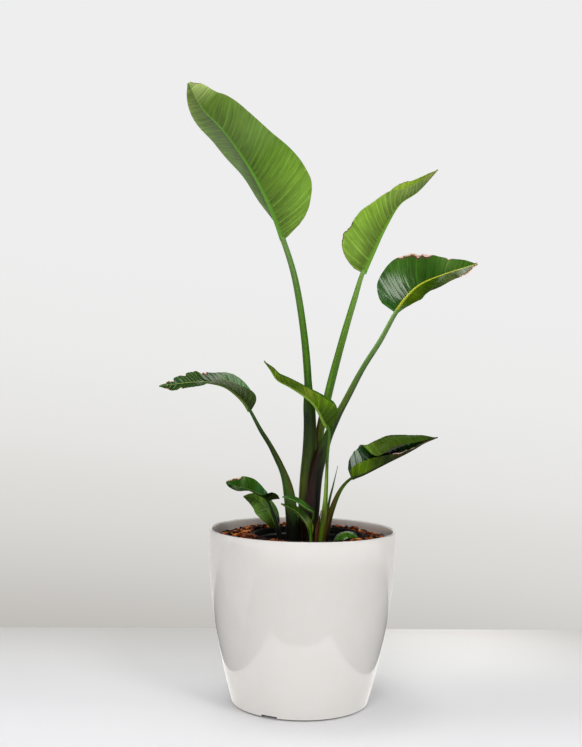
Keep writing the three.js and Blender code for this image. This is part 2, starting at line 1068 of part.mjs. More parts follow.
// A smooth line through the rows of a table, at a share of the blade, which never runs beyond its rows
function tableAt(table, column, s) {
  const at = (i) => table[Math.min(Math.max(i, 0), table.length - 1)];
  const slope = (i) => {
    const [before, here, after] = [at(i - 1), at(i), at(i + 1)];
    const turns = (after[column] - here[column]) * (here[column] - before[column]) <= 0;
    return turns ? 0 : (after[column] - before[column]) / (after[0] - before[0]);
  };
  const next = Math.min(table.length - 1, Math.max(1, table.findIndex(([share]) => share >= s)));
  const span = at(next)[0] - at(next - 1)[0];
  const u = Math.min(1, Math.max(0, (s - at(next - 1)[0]) / span));
  const start = (1 + 2 * u) * (1 - u) ** 2 * at(next - 1)[column] + u * (1 - u) ** 2 * span * slope(next - 1);
  return start + u * u * (3 - 2 * u) * at(next)[column] - u * u * (1 - u) * span * slope(next);
}

// What a torn edge keeps of the width
function tornShare(leaf, side, s) {
  return leaf.torn
    .filter(([tornSide]) => tornSide === side)
    .reduce((share, [, place, reach, depth]) => {
      return share * (1 - depth * Math.max(0, 1 - Math.abs(s - place) / reach));
    }, 1);
}

// A point of a blade's middle surface with its upward normal. The side vein that it lies on leaves the midrib
// at the share t of the blade; it lies at a share of the half width out from the midrib.
function bladePoint(leaf, line, side, t, out, halfWidth) {
  const half = side > 0 ? 0 : 1;
  const s = t + VEIN_SWEEP * t * (1 - t) * out ** VEIN_BEND - leaf.lobe[half] * (1 - t) ** 8 * out ** 1.5;
  const facing = threeStageVector(leaf.facing.slice(1), Math.max(s, 0));
  const frame = leafFrame(line.curve, line.joint + (1 - line.joint) * s, facing);
  const fold = toRadians(tableAt(leaf.fold, half + 1, s));
  const curl = toRadians(tableAt(leaf.curl, half + 1, s));
  // The half rises straight from the midrib and turns over more and more sharply towards its edge
  const steps = 10;
  let across = 0;
  let rise = 0;
  for (let i = 0; i < steps; i++) {
    const angle = fold + curl * ((out * (i + 0.5)) / steps) ** CURL_BEND;
    across += (Math.cos(angle) * halfWidth * out) / steps;
    rise += (Math.sin(angle) * halfWidth * out) / steps;
  }
  const angle = fold + curl * out ** CURL_BEND;
  const [waveHeight, waveCount] = leaf.wave;
  const wave = waveHeight * out ** 2 * Math.sin(2 * Math.PI * waveCount * s + 2 * half) * Math.sin(Math.PI * t);
  const normal = frame.left
    .clone()
    .multiplyScalar(-Math.sin(angle) * side)
    .addScaledVector(frame.up, Math.cos(angle));
  const point = frame.at
    .clone()
    .addScaledVector(frame.left, across * side)
    .addScaledVector(frame.up, rise)
    .addScaledVector(normal, wave);
  return { point, normal, up: frame.up };
}

// A blade as one closed sheet, thick along its midrib, whose rows of points follow its side veins
function bladeSolid(leaf) {
  const line = centreline(leaf);
  const neck = leaf.girth[leaf.girth.length - 1];
  const rings = [];
  for (let i = 0; i <= leaf.rows; i++) {
    const even = i / leaf.rows;
    const t = 0.004 + 0.992 * (0.7 * even + 0.3 * smooth(even));
    const ribWidth = 0.7 + (neck[1] - 0.7) * (1 - t) ** 1.2;
    const ribDepth = 0.3 + (neck[2] * 1.5 - 0.3) * (1 - t) ** 1.3;
    const ridge = (i % 2 ? 1 : -1) * VEIN_RIDGE * Math.min(1, 6 * even * (1 - even));
    const upper = [];
    const lower = [];
    for (const side of [1, -1]) {
      const full = tableAt(leaf.breadth, side > 0 ? 1 : 2, t + VEIN_SWEEP * t * (1 - t));
      const halfWidth = Math.max(full, ribWidth + 1.2);
      const edge = Math.max(full * tornShare(leaf, side, t), ribWidth + 1.2);
      const distances = [0, ribWidth];
      for (let j = 1; j <= leaf.across; j++) distances.push(ribWidth + ((edge - ribWidth) * j) / leaf.across);
      const sideUpper = [];
      const sideLower = [];
      distances.forEach((distance, j) => {
        const { point, normal, up } = bladePoint(leaf, line, side, t, distance / halfWidth, halfWidth);
        const relief = j > 1 && j <= leaf.across ? ridge : 0;
        const middle = point.addScaledVector(normal, relief);
        sideUpper.push(middle.clone().addScaledVector(normal, BLADE_THICKNESS / 2));
        sideLower.push(
          middle.addScaledVector(normal, -BLADE_THICKNESS / 2).addScaledVector(up, j === 0 ? -ribDepth : 0),
        );
      });
      if (side > 0) {
        upper.push(...sideUpper.reverse());
        lower.push(...sideLower.reverse());
      } else {
        upper.push(...sideUpper.slice(1));
        lower.push(...sideLower.slice(1));
      }
    }
    rings.push([...upper, ...lower.reverse()]);
  }
  const body = skin(rings);
  // Both ends close as strips between the upper and the lower face
  const across = body.count / 2;
  for (const [ring, forward] of [
    [0, false],
    [rings.length - 1, true],
  ]) {
    const first = ring * body.count;
    for (let j = 0; j + 1 < across; j++) {
      const corners = [first + j, first + j + 1, first + body.count - 2 - j, first + body.count - 1 - j];
      const [a, b, c, d] = forward ? corners : [corners[3], corners[2], corners[1], corners[0]];
      body.index.push(a, b, c, a, c, d);
    }
  }
  const solid = solidOf(skinGeometry(body));
  if (solid.volume() < 0) throw new Error(`${leaf.name}: the blade is inside out`);
  return solid;
}

const GREEN = { color: 0x47702c, roughness: 0.42 };

function named(name, solid, look) {
  const mesh = new THREE.Mesh(geometryOf(solid), new THREE.MeshStandardMaterial({ metalness: 0, ...look }));
  mesh.name = name;
  return mesh;
}

// The soil of the nursery pot, raised a little round the clump, with clods and fibres on its face
function soilSolid() {
  const random = seededRandom(SOIL_SEED);
  const foot = NURSERY_RIM_TOP - NURSERY_HEIGHT + NURSERY_WALL + GAP;
  const bed = turned(
    [
      [0, foot],
      [nurseryInnerRadius(foot) - 2 * GAP, foot],
      [nurseryInnerRadius(SOIL_TOP) - 2 * GAP, SOIL_TOP],
      [60, SOIL_TOP + 2],
      [0, SOIL_TOP + 4],
    ],
    SOIL_SIDES,
  );
  const clods = [];
  for (let i = 0; i < SOIL_CLODS; i++) {
    const angle = i * 2.39996;
    const radius = 12 + 76 * Math.sqrt((i + 0.5) / SOIL_CLODS);
    const clod = new THREE.IcosahedronGeometry(3 + 4 * random(), 0);
    clod.scale(1 + 0.5 * random(), 1, 0.8);
    clod.rotateZ(random() * Math.PI);
    clod.translate(radius * Math.cos(angle), radius * Math.sin(angle), SOIL_TOP + 1);
    clods.push(solidOf(clod));
  }
  return wasm.Manifold.union([solidOf(bed), ...clods]).translate([NURSERY_X, 0, 0]);
}

// Which stalks each stalk lies behind, where they press on one another
const BEHIND = {
  leaf_tall_left: ["leaf_upper_right", "leaf_low_left"],
  leaf_tall_middle: ["leaf_upper_right", "leaf_tall_left"],
};

const pottedPlant = new THREE.Group();
pottedPlant.add(
  named("planter", planterSolid(), { color: 0xf2f1ee, roughness: 0.12 }),
  named("nursery_pot", nurserySolid(), { color: 0x0c0d0e, roughness: 0.5 }),
  named("bark_mulch", barkSolid(), { color: 0x8a4a22, roughness: 0.9 }),
);

let soil = soilSolid();
const growing = [...LEAVES, ...LEAFLESS];
for (const leaf of growing) {
  let solid = stalkSolid(leaf);
  // Each sheath is pressed in by those that it lies behind
  for (const other of growing.filter(({ name }) => (BEHIND[leaf.name] ?? []).includes(name))) {
    solid = solid.subtract(stalkSolid(other, GAP));
  }
  soil = soil.subtract(stalkSolid(leaf, GAP));
  solid = largestBody(solid);
  if (leaf.rib.length) solid = solid.add(bladeSolid(leaf));
  pottedPlant.add(named(leaf.name, solid, GREEN));
}
pottedPlant.add(named("potting_soil", largestBody(soil), { color: 0x17110c, roughness: 1 }));

export default pottedPlant;
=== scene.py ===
"""A potted bird of paradise: a young clump of paddle-shaped leaves in a glossy white planter.

Metres, +Z up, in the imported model's frame: the origin is on the floor under the planter's axis, -Y is the
front of the plant and +X is to its right. The plant's sizes are written in millimetres, the camera's and
the studio's in metres.
"""

import math
import random
from functools import partial

import bmesh
import bpy
import numpy as np
from mathutils import Matrix, Vector


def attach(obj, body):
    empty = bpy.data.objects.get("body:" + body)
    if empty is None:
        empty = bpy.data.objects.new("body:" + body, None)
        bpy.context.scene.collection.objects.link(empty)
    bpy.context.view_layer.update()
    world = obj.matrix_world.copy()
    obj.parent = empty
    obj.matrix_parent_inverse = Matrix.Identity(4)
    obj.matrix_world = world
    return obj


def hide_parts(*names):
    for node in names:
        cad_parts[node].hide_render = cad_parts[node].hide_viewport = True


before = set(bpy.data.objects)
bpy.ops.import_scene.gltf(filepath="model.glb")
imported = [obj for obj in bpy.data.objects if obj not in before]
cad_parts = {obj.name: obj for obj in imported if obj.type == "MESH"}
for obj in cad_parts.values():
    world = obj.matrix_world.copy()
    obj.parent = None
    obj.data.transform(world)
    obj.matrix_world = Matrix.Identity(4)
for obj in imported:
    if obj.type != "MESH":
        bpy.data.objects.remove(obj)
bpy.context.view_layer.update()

# Camera: at the height of the clump's heart, two metres in front of the planter, looking straight ahead.
CAMERA_PLACE = (0.0, -1.9526, 0.5926)
CAMERA_LENS = 50
# In radians
CAMERA_PITCH = 0.01017
CAMERA_ROLL = 0.01791
CAMERA_YAW = -0.01367

level_ahead = Vector((math.sin(CAMERA_YAW), math.cos(CAMERA_YAW), 0))
ahead = level_ahead * math.cos(CAMERA_PITCH) + Vector((0, 0, math.sin(CAMERA_PITCH)))
level_right = Vector((math.cos(CAMERA_YAW), -math.sin(CAMERA_YAW), 0))
level_up = level_right.cross(ahead)
camera_right = math.cos(CAMERA_ROLL) * level_right + math.sin(CAMERA_ROLL) * level_up
camera_up = math.cos(CAMERA_ROLL) * level_up - math.sin(CAMERA_ROLL) * level_right

camera = bpy.data.objects.new("camera", bpy.data.cameras.new("camera"))
camera.data.lens = CAMERA_LENS
camera.data.clip_start = 0.05
aim = Matrix((camera_right, camera_up, -ahead)).transposed().to_4x4()
camera.matrix_world = Matrix.Translation(CAMERA_PLACE) @ aim
bpy.context.scene.collection.objects.link(camera)
bpy.context.scene.camera = camera


# Planter: one injection-moulded shell of glossy white polypropylene, which narrows in a bulging curve from
# its rolled lip to its foot. It stands on a flat pad, so a shadow line runs under its edge, and a small
# overflow slot is cut into that edge at the left of the front.
MM = 0.001

PLANTER_HEIGHT = 322
PLANTER_RIM_RADIUS = 175
PLANTER_FOOT_RADIUS = 126
PLANTER_WIDEST_HEIGHT = 290
PLANTER_BULGE = 1.7
PLANTER_WALL = 4
PLANTER_FLOOR = 12
PLANTER_LIP_WIDTH = 6
PLANTER_LIP_DEPTH = 12
PLANTER_SIDES = 192
OUTSIDE_RINGS = range(12, 315, 8)
INSIDE_RINGS = (306, 300, *range(288, 20, -12), PLANTER_FLOOR)
FOOT_PAD_RADIUS = 120
FOOT_SHADOW_GAP = 2.5
FOOT_GROOVE_DEPTH = 6
FOOT_EDGE_ROUND = 0.6
OVERFLOW_WIDTH = 32
OVERFLOW_HEIGHT = 4.4
OVERFLOW_CUT = 20
OVERFLOW_TURN_DEG = 25


def srgb(code):
    """A colour written as an sRGB hex value, in linear light."""
    parts = [int(code[i : i + 2], 16) / 255 for i in (0, 2, 4)]
    return (*(p / 12.92 if p <= 0.04045 else ((p + 0.055) / 1.055) ** 2.4 for p in parts), 1.0)


def add_node(tree, kind, inputs=(), stops=None, **settings):
    """Adds a shader node with its settings. The inputs go by their names or in their order, and each is a
    value or the node that is linked to it."""
    node = tree.nodes.new("ShaderNode" + kind)
    for key, value in settings.items():
        setattr(node, key, value)
    for key, value in inputs.items() if isinstance(inputs, dict) else enumerate(inputs):
        named = (socket for socket in node.inputs if socket.enabled and socket.name == key)
        socket = node.inputs[key] if isinstance(key, int) else next(named)
        if isinstance(value, bpy.types.Node):
            tree.links.new(next(output for output in value.outputs if output.enabled), socket)
        elif isinstance(value, bpy.types.NodeSocket):
            tree.links.new(value, socket)
        else:
            socket.default_value = value
    if stops:
        ramp = node.color_ramp.elements
        ramp.remove(ramp[1])
        ramp[0].position, ramp[0].color = stops[0][0], srgb(stops[0][1])
        for place, code in stops[1:]:
            ramp.new(place).color = srgb(code)
    return node


def new_finish(name):
    """A new material without nodes, and the function that adds them to it."""
    finish = bpy.data.materials.new(name)
    finish.use_nodes = True
    finish.node_tree.nodes.clear()
    return finish, partial(add_node, finish.node_tree)


def add_piece(name, node, points, faces, finishes, sharp_deg=40):
    """A smooth piece of points in mm, which stands for a node of the frame and rides with the pot."""
    mesh = bpy.data.meshes.new(name)
    mesh.from_pydata((np.array(points, float) * MM).tolist(), [], faces)
    for finish in finishes:
        mesh.materials.append(finish)
    mesh.shade_smooth()
    mesh.set_sharp_from_angle(angle=math.radians(sharp_deg))
    piece = bpy.data.objects.new(name, mesh)
    bpy.context.scene.collection.objects.link(piece)
    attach(piece, "root")
    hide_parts(node)
    return piece


def turned(profile_at, sides):
    """Points and faces of a profile of (radius, height), turned about Z. It may change with the angle."""
    points = []
    for i in range(sides):
        angle = 2 * math.pi * i / sides
        points += [(r * math.cos(angle), r * math.sin(angle), z) for r, z in profile_at(angle)]
    count = len(points) // sides
    faces = []
    for i in range(sides):
        here, there = i * count, (i + 1) % sides * count
        faces += [(here + j, there + j, there + j + 1, here + j + 1) for j in range(count - 1)]
    return points, faces


def join_close_points(piece):
    """Closes the mesh of a turned piece where its profile meets the axis."""
    work = bmesh.new()
    work.from_mesh(piece.data)
    bmesh.ops.remove_doubles(work, verts=work.verts, dist=0.01 * MM)
    bmesh.ops.dissolve_degenerate(work, edges=work.edges, dist=0.01 * MM)
    bmesh.ops.recalc_face_normals(work, faces=work.faces)
    work.to_mesh(piece.data)
    work.free()


def planter_radius(z):
    rise = min(1, z / PLANTER_WIDEST_HEIGHT)
    widening = 1 - (1 - rise) ** PLANTER_BULGE
    return PLANTER_FOOT_RADIUS + (PLANTER_RIM_RADIUS - PLANTER_FOOT_RADIUS) * widening


def planter_profile(_angle):
    lip = PLANTER_LIP_WIDTH / 2
    inside_foot = PLANTER_FOOT_RADIUS - PLANTER_WALL
    outside = (FOOT_SHADOW_GAP + FOOT_EDGE_ROUND, *OUTSIDE_RINGS)
    roll = [math.radians(10 * step) for step in range(19)]
    return [
        (0, 0),
        (FOOT_PAD_RADIUS, 0),
        (FOOT_PAD_RADIUS, FOOT_GROOVE_DEPTH),
        (inside_foot, FOOT_GROOVE_DEPTH),
        (inside_foot, FOOT_SHADOW_GAP),
        (PLANTER_FOOT_RADIUS - FOOT_EDGE_ROUND, FOOT_SHADOW_GAP),
        *((planter_radius(z), z) for z in outside),
        *(
            (PLANTER_RIM_RADIUS - lip + lip * math.cos(a), PLANTER_HEIGHT - lip + lip * math.sin(a))
            for a in roll
        ),
        (PLANTER_RIM_RADIUS - PLANTER_LIP_WIDTH, PLANTER_HEIGHT - PLANTER_LIP_DEPTH),
        *((planter_radius(z) - PLANTER_WALL, z) for z in INSIDE_RINGS),
        (0, PLANTER_FLOOR),
    ]


# Glossy polypropylene, moulded against a polished steel tool: a mirror-like skin over an opaque, faintly warm
# white. The tool's slow waves bend the reflections a little, and fine dust dulls them in patches.
white_shell, add = new_finish("glossy_white_polypropylene")
place = add("TexCoord").outputs["Object"]
WAVE_LENGTH = 90
DUST_PATCH = 35
clouds = add("TexNoise", {"Vector": place, "Scale": 1000 / DUST_PATCH, "Detail": 3})
tint = add("ValToRGB", {"Fac": clouds}, stops=[(0.3, "E9E5E0"), (0.7, "EAE7E3")])
# A range is written as the value, its two ends, and what they become where that isn't 0 and 1
dulling = add("MapRange", [clouds, 0, 1, 0, 0.03])
waves = add("TexNoise", {"Vector": place, "Scale": 1000 / WAVE_LENGTH, "Detail": 0})
swell = add("Bump", {"Height": waves, "Strength": 0.04, "Distance": 0.002})
# Painted shade: the groove between the foot pad and the shell's edge, seen through the overflow slot and
# under the shell's edge, is darkened almost to black
SHADED_GROOVE_RADIUS = 123.5
SHADED_GROOVE_TOP = 11
flat_place = add("VectorMath", [place, (1, 1, 0)], operation="MULTIPLY")
from_axis = add("VectorMath", [flat_place], operation="LENGTH").outputs["Value"]
groove = add("MapRange", [from_axis, SHADED_GROOVE_RADIUS * MM, (SHADED_GROOVE_RADIUS - 1) * MM])
height = add("SeparateXYZ", {"Vector": place}).outputs["Z"]
deep = add("MapRange", [height, SHADED_GROOVE_TOP * MM, (SHADED_GROOVE_TOP - 1) * MM])
painted_groove_shade = add("Math", [groove, deep], operation="MULTIPLY")
tint = add("Mix", {"Factor": painted_groove_shade, "A": tint, "B": srgb("24211E")}, data_type="RGBA")
shader = add("BsdfPrincipled", {"Base Color": tint, "Roughness": dulling, "IOR": 1.6, "Normal": swell})
add("OutputMaterial", {"Surface": shader})

points, faces = turned(planter_profile, PLANTER_SIDES)
shell = add_piece("planter_shell", "planter", points, faces, [white_shell])
join_close_points(shell)

# The overflow slot is punched through the shell's lower edge, from just below it
slot_turn = Matrix.Rotation(-math.radians(OVERFLOW_TURN_DEG), 4, "Z")
slot_middle = Vector((0, -PLANTER_FOOT_RADIUS, (OVERFLOW_HEIGHT + FOOT_SHADOW_GAP) / 2 - 0.5)) * MM
slot_size = Vector((OVERFLOW_WIDTH, OVERFLOW_CUT, OVERFLOW_HEIGHT + FOOT_SHADOW_GAP)) * MM
punch = bpy.data.objects.new("overflow_punch", bpy.data.meshes.new("overflow_punch"))
work = bmesh.new()
in_place = slot_turn @ Matrix.Translation(slot_middle) @ Matrix.Diagonal((*slot_size, 1))
bmesh.ops.create_cube(work, size=1, matrix=in_place)
work.to_mesh(punch.data)
work.free()
bpy.context.scene.collection.objects.link(punch)
cut = shell.modifiers.new("overflow_slot", "BOOLEAN")
cut.operation = "DIFFERENCE"
cut.object = punch
cut.solver = "EXACT"
with_slot = bpy.data.meshes.new_from_object(shell.evaluated_get(bpy.context.evaluated_depsgraph_get()))
shell.modifiers.clear()
shell.data = with_slot
bpy.data.objects.remove(punch)


# Nursery pot: thin black polypropylene, formed over a tool, with a rolled rim. It stands in the planter a
# little to the right of its axis, and only its rim and the top of its wall show.
NURSERY_X = 11
NURSERY_RIM_TOP = 313
NURSERY_HEIGHT = 196
NURSERY_RIM_RADIUS = 104
NURSERY_TOP_RADIUS = 100
NURSERY_FOOT_RADIUS = 76
NURSERY_WALL = 2
NURSERY_RIM_DEPTH = 14
NURSERY_ROLL = 1.2
NURSERY_RIM_WALL = 2.6
NURSERY_SIDES = 128


def nursery_inner_radius(z):
    share = (z - NURSERY_RIM_TOP + NURSERY_HEIGHT) / (NURSERY_HEIGHT - NURSERY_RIM_DEPTH)
    return NURSERY_FOOT_RADIUS + (NURSERY_TOP_RADIUS - NURSERY_FOOT_RADIUS) * share - NURSERY_WALL


def nursery_profile(_angle):
    foot = NURSERY_RIM_TOP - NURSERY_HEIGHT
    under_rim = NURSERY_RIM_TOP - NURSERY_RIM_DEPTH
    roll = [math.radians(15 * step) for step in range(13)]
    return [
        (0, foot),
        (NURSERY_FOOT_RADIUS - NURSERY_WALL, foot),
        (NURSERY_FOOT_RADIUS, foot + NURSERY_WALL),
        (NURSERY_TOP_RADIUS, under_rim),
        (NURSERY_RIM_RADIUS, under_rim + 0.5),
        *(
            (
                NURSERY_RIM_RADIUS - NURSERY_ROLL + NURSERY_ROLL * math.cos(a),
                NURSERY_RIM_TOP - NURSERY_ROLL + NURSERY_ROLL * math.sin(a),
            )
            for a in roll
        ),
        (NURSERY_RIM_RADIUS - NURSERY_RIM_WALL, under_rim + NURSERY_WALL),
        (nursery_inner_radius(under_rim), under_rim - 1),
        (nursery_inner_radius(foot + NURSERY_WALL), foot + NURSERY_WALL),
        (0, foot + NURSERY_WALL),
    ]


# Black polypropylene with the satin skin of a thin formed sheet, and a film of peat dust on it.
black_sheet, add = new_finish("satin_black_polypropylene")
place = add("TexCoord").outputs["Object"]
DUST_GRAIN = 4
dust = add("TexNoise", {"Vector": place, "Scale": 1000 / DUST_GRAIN, "Detail": 4})
tint = add("ValToRGB", {"Fac": dust}, stops=[(0.45, "0B0C0E"), (0.75, "231E1A")])
dulling = add("MapRange", [dust, 0, 1, 0.32, 0.6])
relief = add("Bump", {"Height": dust, "Strength": 0.2, "Distance": 0.0003})
shader = add("BsdfPrincipled", {"Base Color": tint, "Roughness": dulling, "IOR": 1.5, "Normal": relief})
add("OutputMaterial", {"Surface": shader})

points, faces = turned(nursery_profile, NURSERY_SIDES)
points = [(x + NURSERY_X, y, z) for x, y, z in points]
wall = add_piece("nursery_pot_wall", "nursery_pot", points, faces, [black_sheet])
join_close_points(wall)


# Bark mulch: splits of pine bark, raked loosely into the ring between the two pots. It is heaped against
# the nursery pot's rim and lies lower along the planter's wall.
BARK_AT_RIM = 314
BARK_AT_WALL = 299
BARK_SLOPE_BEND = 1.4
BED_SUNK = 4
BED_CLEAR = 0.3
BED_SIDES = 96
CHIP_COUNT = 1500
CHIP_LENGTH = (6, 21)
CHIP_THICKNESS = (1.6, 4.2)
CHIP_CORNERS = 9
CHIP_LAYERS = ((0.78, -0.5), (1.0, -0.25), (0.95, 0.3), (0.7, 0.5))
CHIP_RING_START = NURSERY_RIM_RADIUS + 3
CHIP_RING_WIDTH = 62
CHIP_SPREAD = 0.7548777
CHIP_TO_WALL = 1.5
CHIP_TO_POT = 0.5
FRONT_SUNK = 5
GOLDEN_ANGLE = 2.39996
BARK_SEED = 11


def bark_height(radius):
    reach = PLANTER_RIM_RADIUS - PLANTER_WALL - NURSERY_RIM_RADIUS
    share = min(1, max(0, (radius - NURSERY_RIM_RADIUS) / reach))
    return BARK_AT_RIM + (BARK_AT_WALL - BARK_AT_RIM) * share**BARK_SLOPE_BEND


def bed_profile(angle):
    """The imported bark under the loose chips. It fills the room between the pots and under the inner one."""
    foot = NURSERY_RIM_TOP - NURSERY_HEIGHT - BED_CLEAR
    under_rim = NURSERY_RIM_TOP - NURSERY_RIM_DEPTH - BED_CLEAR
    to_axis = NURSERY_X * math.cos(angle)

    def beside_nursery(radius):
        return to_axis + math.sqrt((radius + BED_CLEAR) ** 2 - (NURSERY_X * math.sin(angle)) ** 2)

    heights = [PLANTER_FLOOR + BED_CLEAR, 40, 95, 165, 235, BARK_AT_WALL - BED_SUNK]
    return [
        (0, PLANTER_FLOOR + BED_CLEAR),
        *((planter_radius(z) - PLANTER_WALL - BED_CLEAR, z) for z in heights),
        *((r, bark_height(r) - BED_SUNK) for r in (160, 145, 130)),
        (beside_nursery(NURSERY_RIM_RADIUS), BARK_AT_RIM - BED_SUNK),
        (beside_nursery(NURSERY_RIM_RADIUS), under_rim),
        (beside_nursery(NURSERY_TOP_RADIUS), under_rim),
        (beside_nursery(NURSERY_FOOT_RADIUS), foot),
        (0, foot),
    ]


def tube_faces(rings, corners, ends=True):
    """Faces between closed rings of points, one after another, and over the two ends."""
    faces = []
    for first in range(0, (rings - 1) * corners, corners):
        for corner in range(corners):
            a, b = first + corner, first + (corner + 1) % corners
            faces.append((a, b, b + corners, a + corners))
    if ends:
        faces += [tuple(reversed(range(corners))), tuple(range((rings - 1) * corners, rings * corners))]
    return faces


def add_part(points, faces, part_points, part_faces):
    """Adds a loose part to the points and faces of a piece."""
    first = len(points)
    points += part_points
    faces += [tuple(first + corner for corner in face) for face in part_faces]


def bark_chip(rng):
    """A split of bark about the origin: a ragged slab, longer than wide, thinner at its ends."""
    length = rng.uniform(*CHIP_LENGTH)
    width = length * rng.uniform(0.35, 0.8)
    thick = rng.uniform(*CHIP_THICKNESS)
    ragged = [rng.uniform(0.72, 1.08) for _ in range(CHIP_CORNERS)]
    tilt = rng.uniform(-0.25, 0.25)
    rings = []
    for size, height in CHIP_LAYERS:
        for corner in range(CHIP_CORNERS):
            angle = 2 * math.pi * corner / CHIP_CORNERS
            x = ragged[corner] * size * length / 2 * math.cos(angle)
            y = ragged[(corner * 4) % CHIP_CORNERS] * size * width / 2 * math.sin(angle)
            z = thick * height * (1 - 0.5 * abs(math.cos(angle))) + tilt * x + rng.uniform(-0.3, 0.3)
            rings.append((x, y, z))
    return np.array(rings), tube_faces(len(CHIP_LAYERS), CHIP_CORNERS)


def turn(angles):
    """A turn about X, then Y, then Z, by angles in radians, as a matrix for rows of points."""
    rx, ry, rz = (Matrix.Rotation(angle, 3, axis) for angle, axis in zip(angles, "XYZ"))
    return np.array(rz @ ry @ rx).T


def add_facts(piece, **facts):
    """Stores one number for each point of a piece, for its material to read."""
    for name, values in facts.items():
        kind = "FLOAT_VECTOR" if np.ndim(values) > 1 else "FLOAT"
        data = piece.data.attributes.new(name, kind, "POINT").data
        data.foreach_set("vector" if np.ndim(values) > 1 else "value", np.ravel(values).astype(np.float32))


rng = random.Random(BARK_SEED)
points, faces = turned(bed_profile, BED_SIDES)
# The bed takes tone 0, the darkest: painted shade in the gaps between the chips
tones = [0.0] * len(points)
grains = list(points)
for i in range(CHIP_COUNT):
    chip, chip_faces = bark_chip(rng)
    tone, shift = rng.random(), rng.uniform(0, 400)
    # Golden-angle steps spread the chips evenly round the pot, and steps of another ratio across the ring,
    # whose middle lies between the axes of the two pots
    angle = i * GOLDEN_ANGLE + rng.uniform(-0.1, 0.1)
    radius = CHIP_RING_START + CHIP_RING_WIDTH * ((i * CHIP_SPREAD) % 1)
    centre = np.array([NURSERY_X * 0.6 + radius * math.cos(angle), radius * math.sin(angle), 0])
    # The heap has sunk at the front, under the planter's lip
    sunk = FRONT_SUNK * max(0, -math.sin(angle)) ** 3
    centre[2] = bark_height(math.hypot(*centre[:2])) - 1 + rng.uniform(-1.5, 3) - sunk
    placed = chip @ turn((rng.uniform(-0.6, 0.6), rng.uniform(-0.5, 0.5), rng.uniform(0, math.pi))) + centre
    # No chip reaches through the planter's wall or the nursery pot's
    from_axis = np.hypot(placed[:, 0], placed[:, 1])
    placed[:, :2] *= np.minimum(1, (PLANTER_RIM_RADIUS - PLANTER_WALL - CHIP_TO_WALL) / from_axis)[:, None]
    from_pot = placed[:, :2] - (NURSERY_X, 0)
    reach = np.hypot(*from_pot.T)
    placed[:, :2] += from_pot * (np.maximum(1, (NURSERY_RIM_RADIUS + CHIP_TO_POT) / reach) - 1)[:, None]
    add_part(points, faces, placed.tolist(), chip_faces)
    tones += [tone] * len(chip)
    grains += (chip + shift).tolist()

# Pine bark: matt and corky, orange-brown where it has split and nearly black where it has weathered, with a
# tone for each chip. The bed under the chips takes the darkest tone, as painted shade in the gaps between
# them.
# Its layers show as lines along each chip, four times as long as wide.
pine_bark, add = new_finish("split_pine_bark")
BARK_LAYER = 1.6
BARK_PATCH = 7
tone = add("Attribute", attribute_name="tone").outputs["Fac"]
grain = add("Attribute", attribute_name="grain").outputs["Vector"]
along_chip = add("Mapping", {"Vector": grain, "Scale": (0.25, 1, 1)})
layering = {"Scale": 1 / BARK_LAYER, "Detail": 4, "Roughness": 0.65}
layers = add("TexNoise", {"Vector": along_chip, **layering})
patches = add("TexNoise", {"Vector": grain, "Scale": 1 / BARK_PATCH, "Detail": 2})
mottle = add("Math", [patches, layers], operation="ADD")
mixed = add("Math", [tone, 0.9, -0.48], operation="MULTIPLY_ADD")
mixed = add("Math", [mottle, 0.5, mixed], operation="MULTIPLY_ADD")
tint = add(
    "ValToRGB",
    {"Fac": mixed},
    stops=[(0.32, "060302"), (0.46, "260D06"), (0.56, "5E220C"), (0.7, "984418"), (0.9, "D8822E")],
)
relief = add("Bump", {"Height": layers, "Strength": 0.8, "Distance": 0.0009})
shader = add("BsdfPrincipled", {"Base Color": tint, "Roughness": 0.85, "Normal": relief})
add("OutputMaterial", {"Surface": shader})

bark = add_piece("bark_chips", "bark_mulch", points, faces, [pine_bark], sharp_deg=30)
add_facts(bark, tone=tones, grain=grains)
join_close_points(bark)


# Potting soil: a dark peat mix, nearly level with the nursery pot's rim, crumbly and full of fibres.
SOIL_TOP = 287
SOIL_RISE = 4
SOIL_RINGS = 60
SOIL_SIDES = 120
SOIL_CLEAR = 0.6
SOIL_ROUGHNESS = (-1.2, 1.6)
CRUMB_COUNT = 420
FIBRE_COUNT = 150
FIBRE_LENGTH = (8, 26)
FIBRE_STEPS = 7
SOIL_SEED = 5


def soil_height(radius):
    return SOIL_TOP + SOIL_RISE * (1 - radius / NURSERY_TOP_RADIUS)


rng = random.Random(SOIL_SEED)
soil_rim = nursery_inner_radius(SOIL_TOP) - SOIL_CLEAR
soil_foot = NURSERY_RIM_TOP - NURSERY_HEIGHT + NURSERY_WALL + SOIL_CLEAR / 2


def soil_profile(_angle):
    """From the pot's floor up its wall and in over the crumbly top to the axis."""
    top = [soil_rim * (1 - step / SOIL_RINGS) for step in range(SOIL_RINGS + 1)]
    rough = [rng.uniform(*SOIL_ROUGHNESS) if r > 0 else 0 for r in top]
    return [
        (0, soil_foot),
        (nursery_inner_radius(soil_foot) - SOIL_CLEAR, soil_foot),
        *((r, soil_height(r) + bump) for r, bump in zip(top, rough)),
    ]


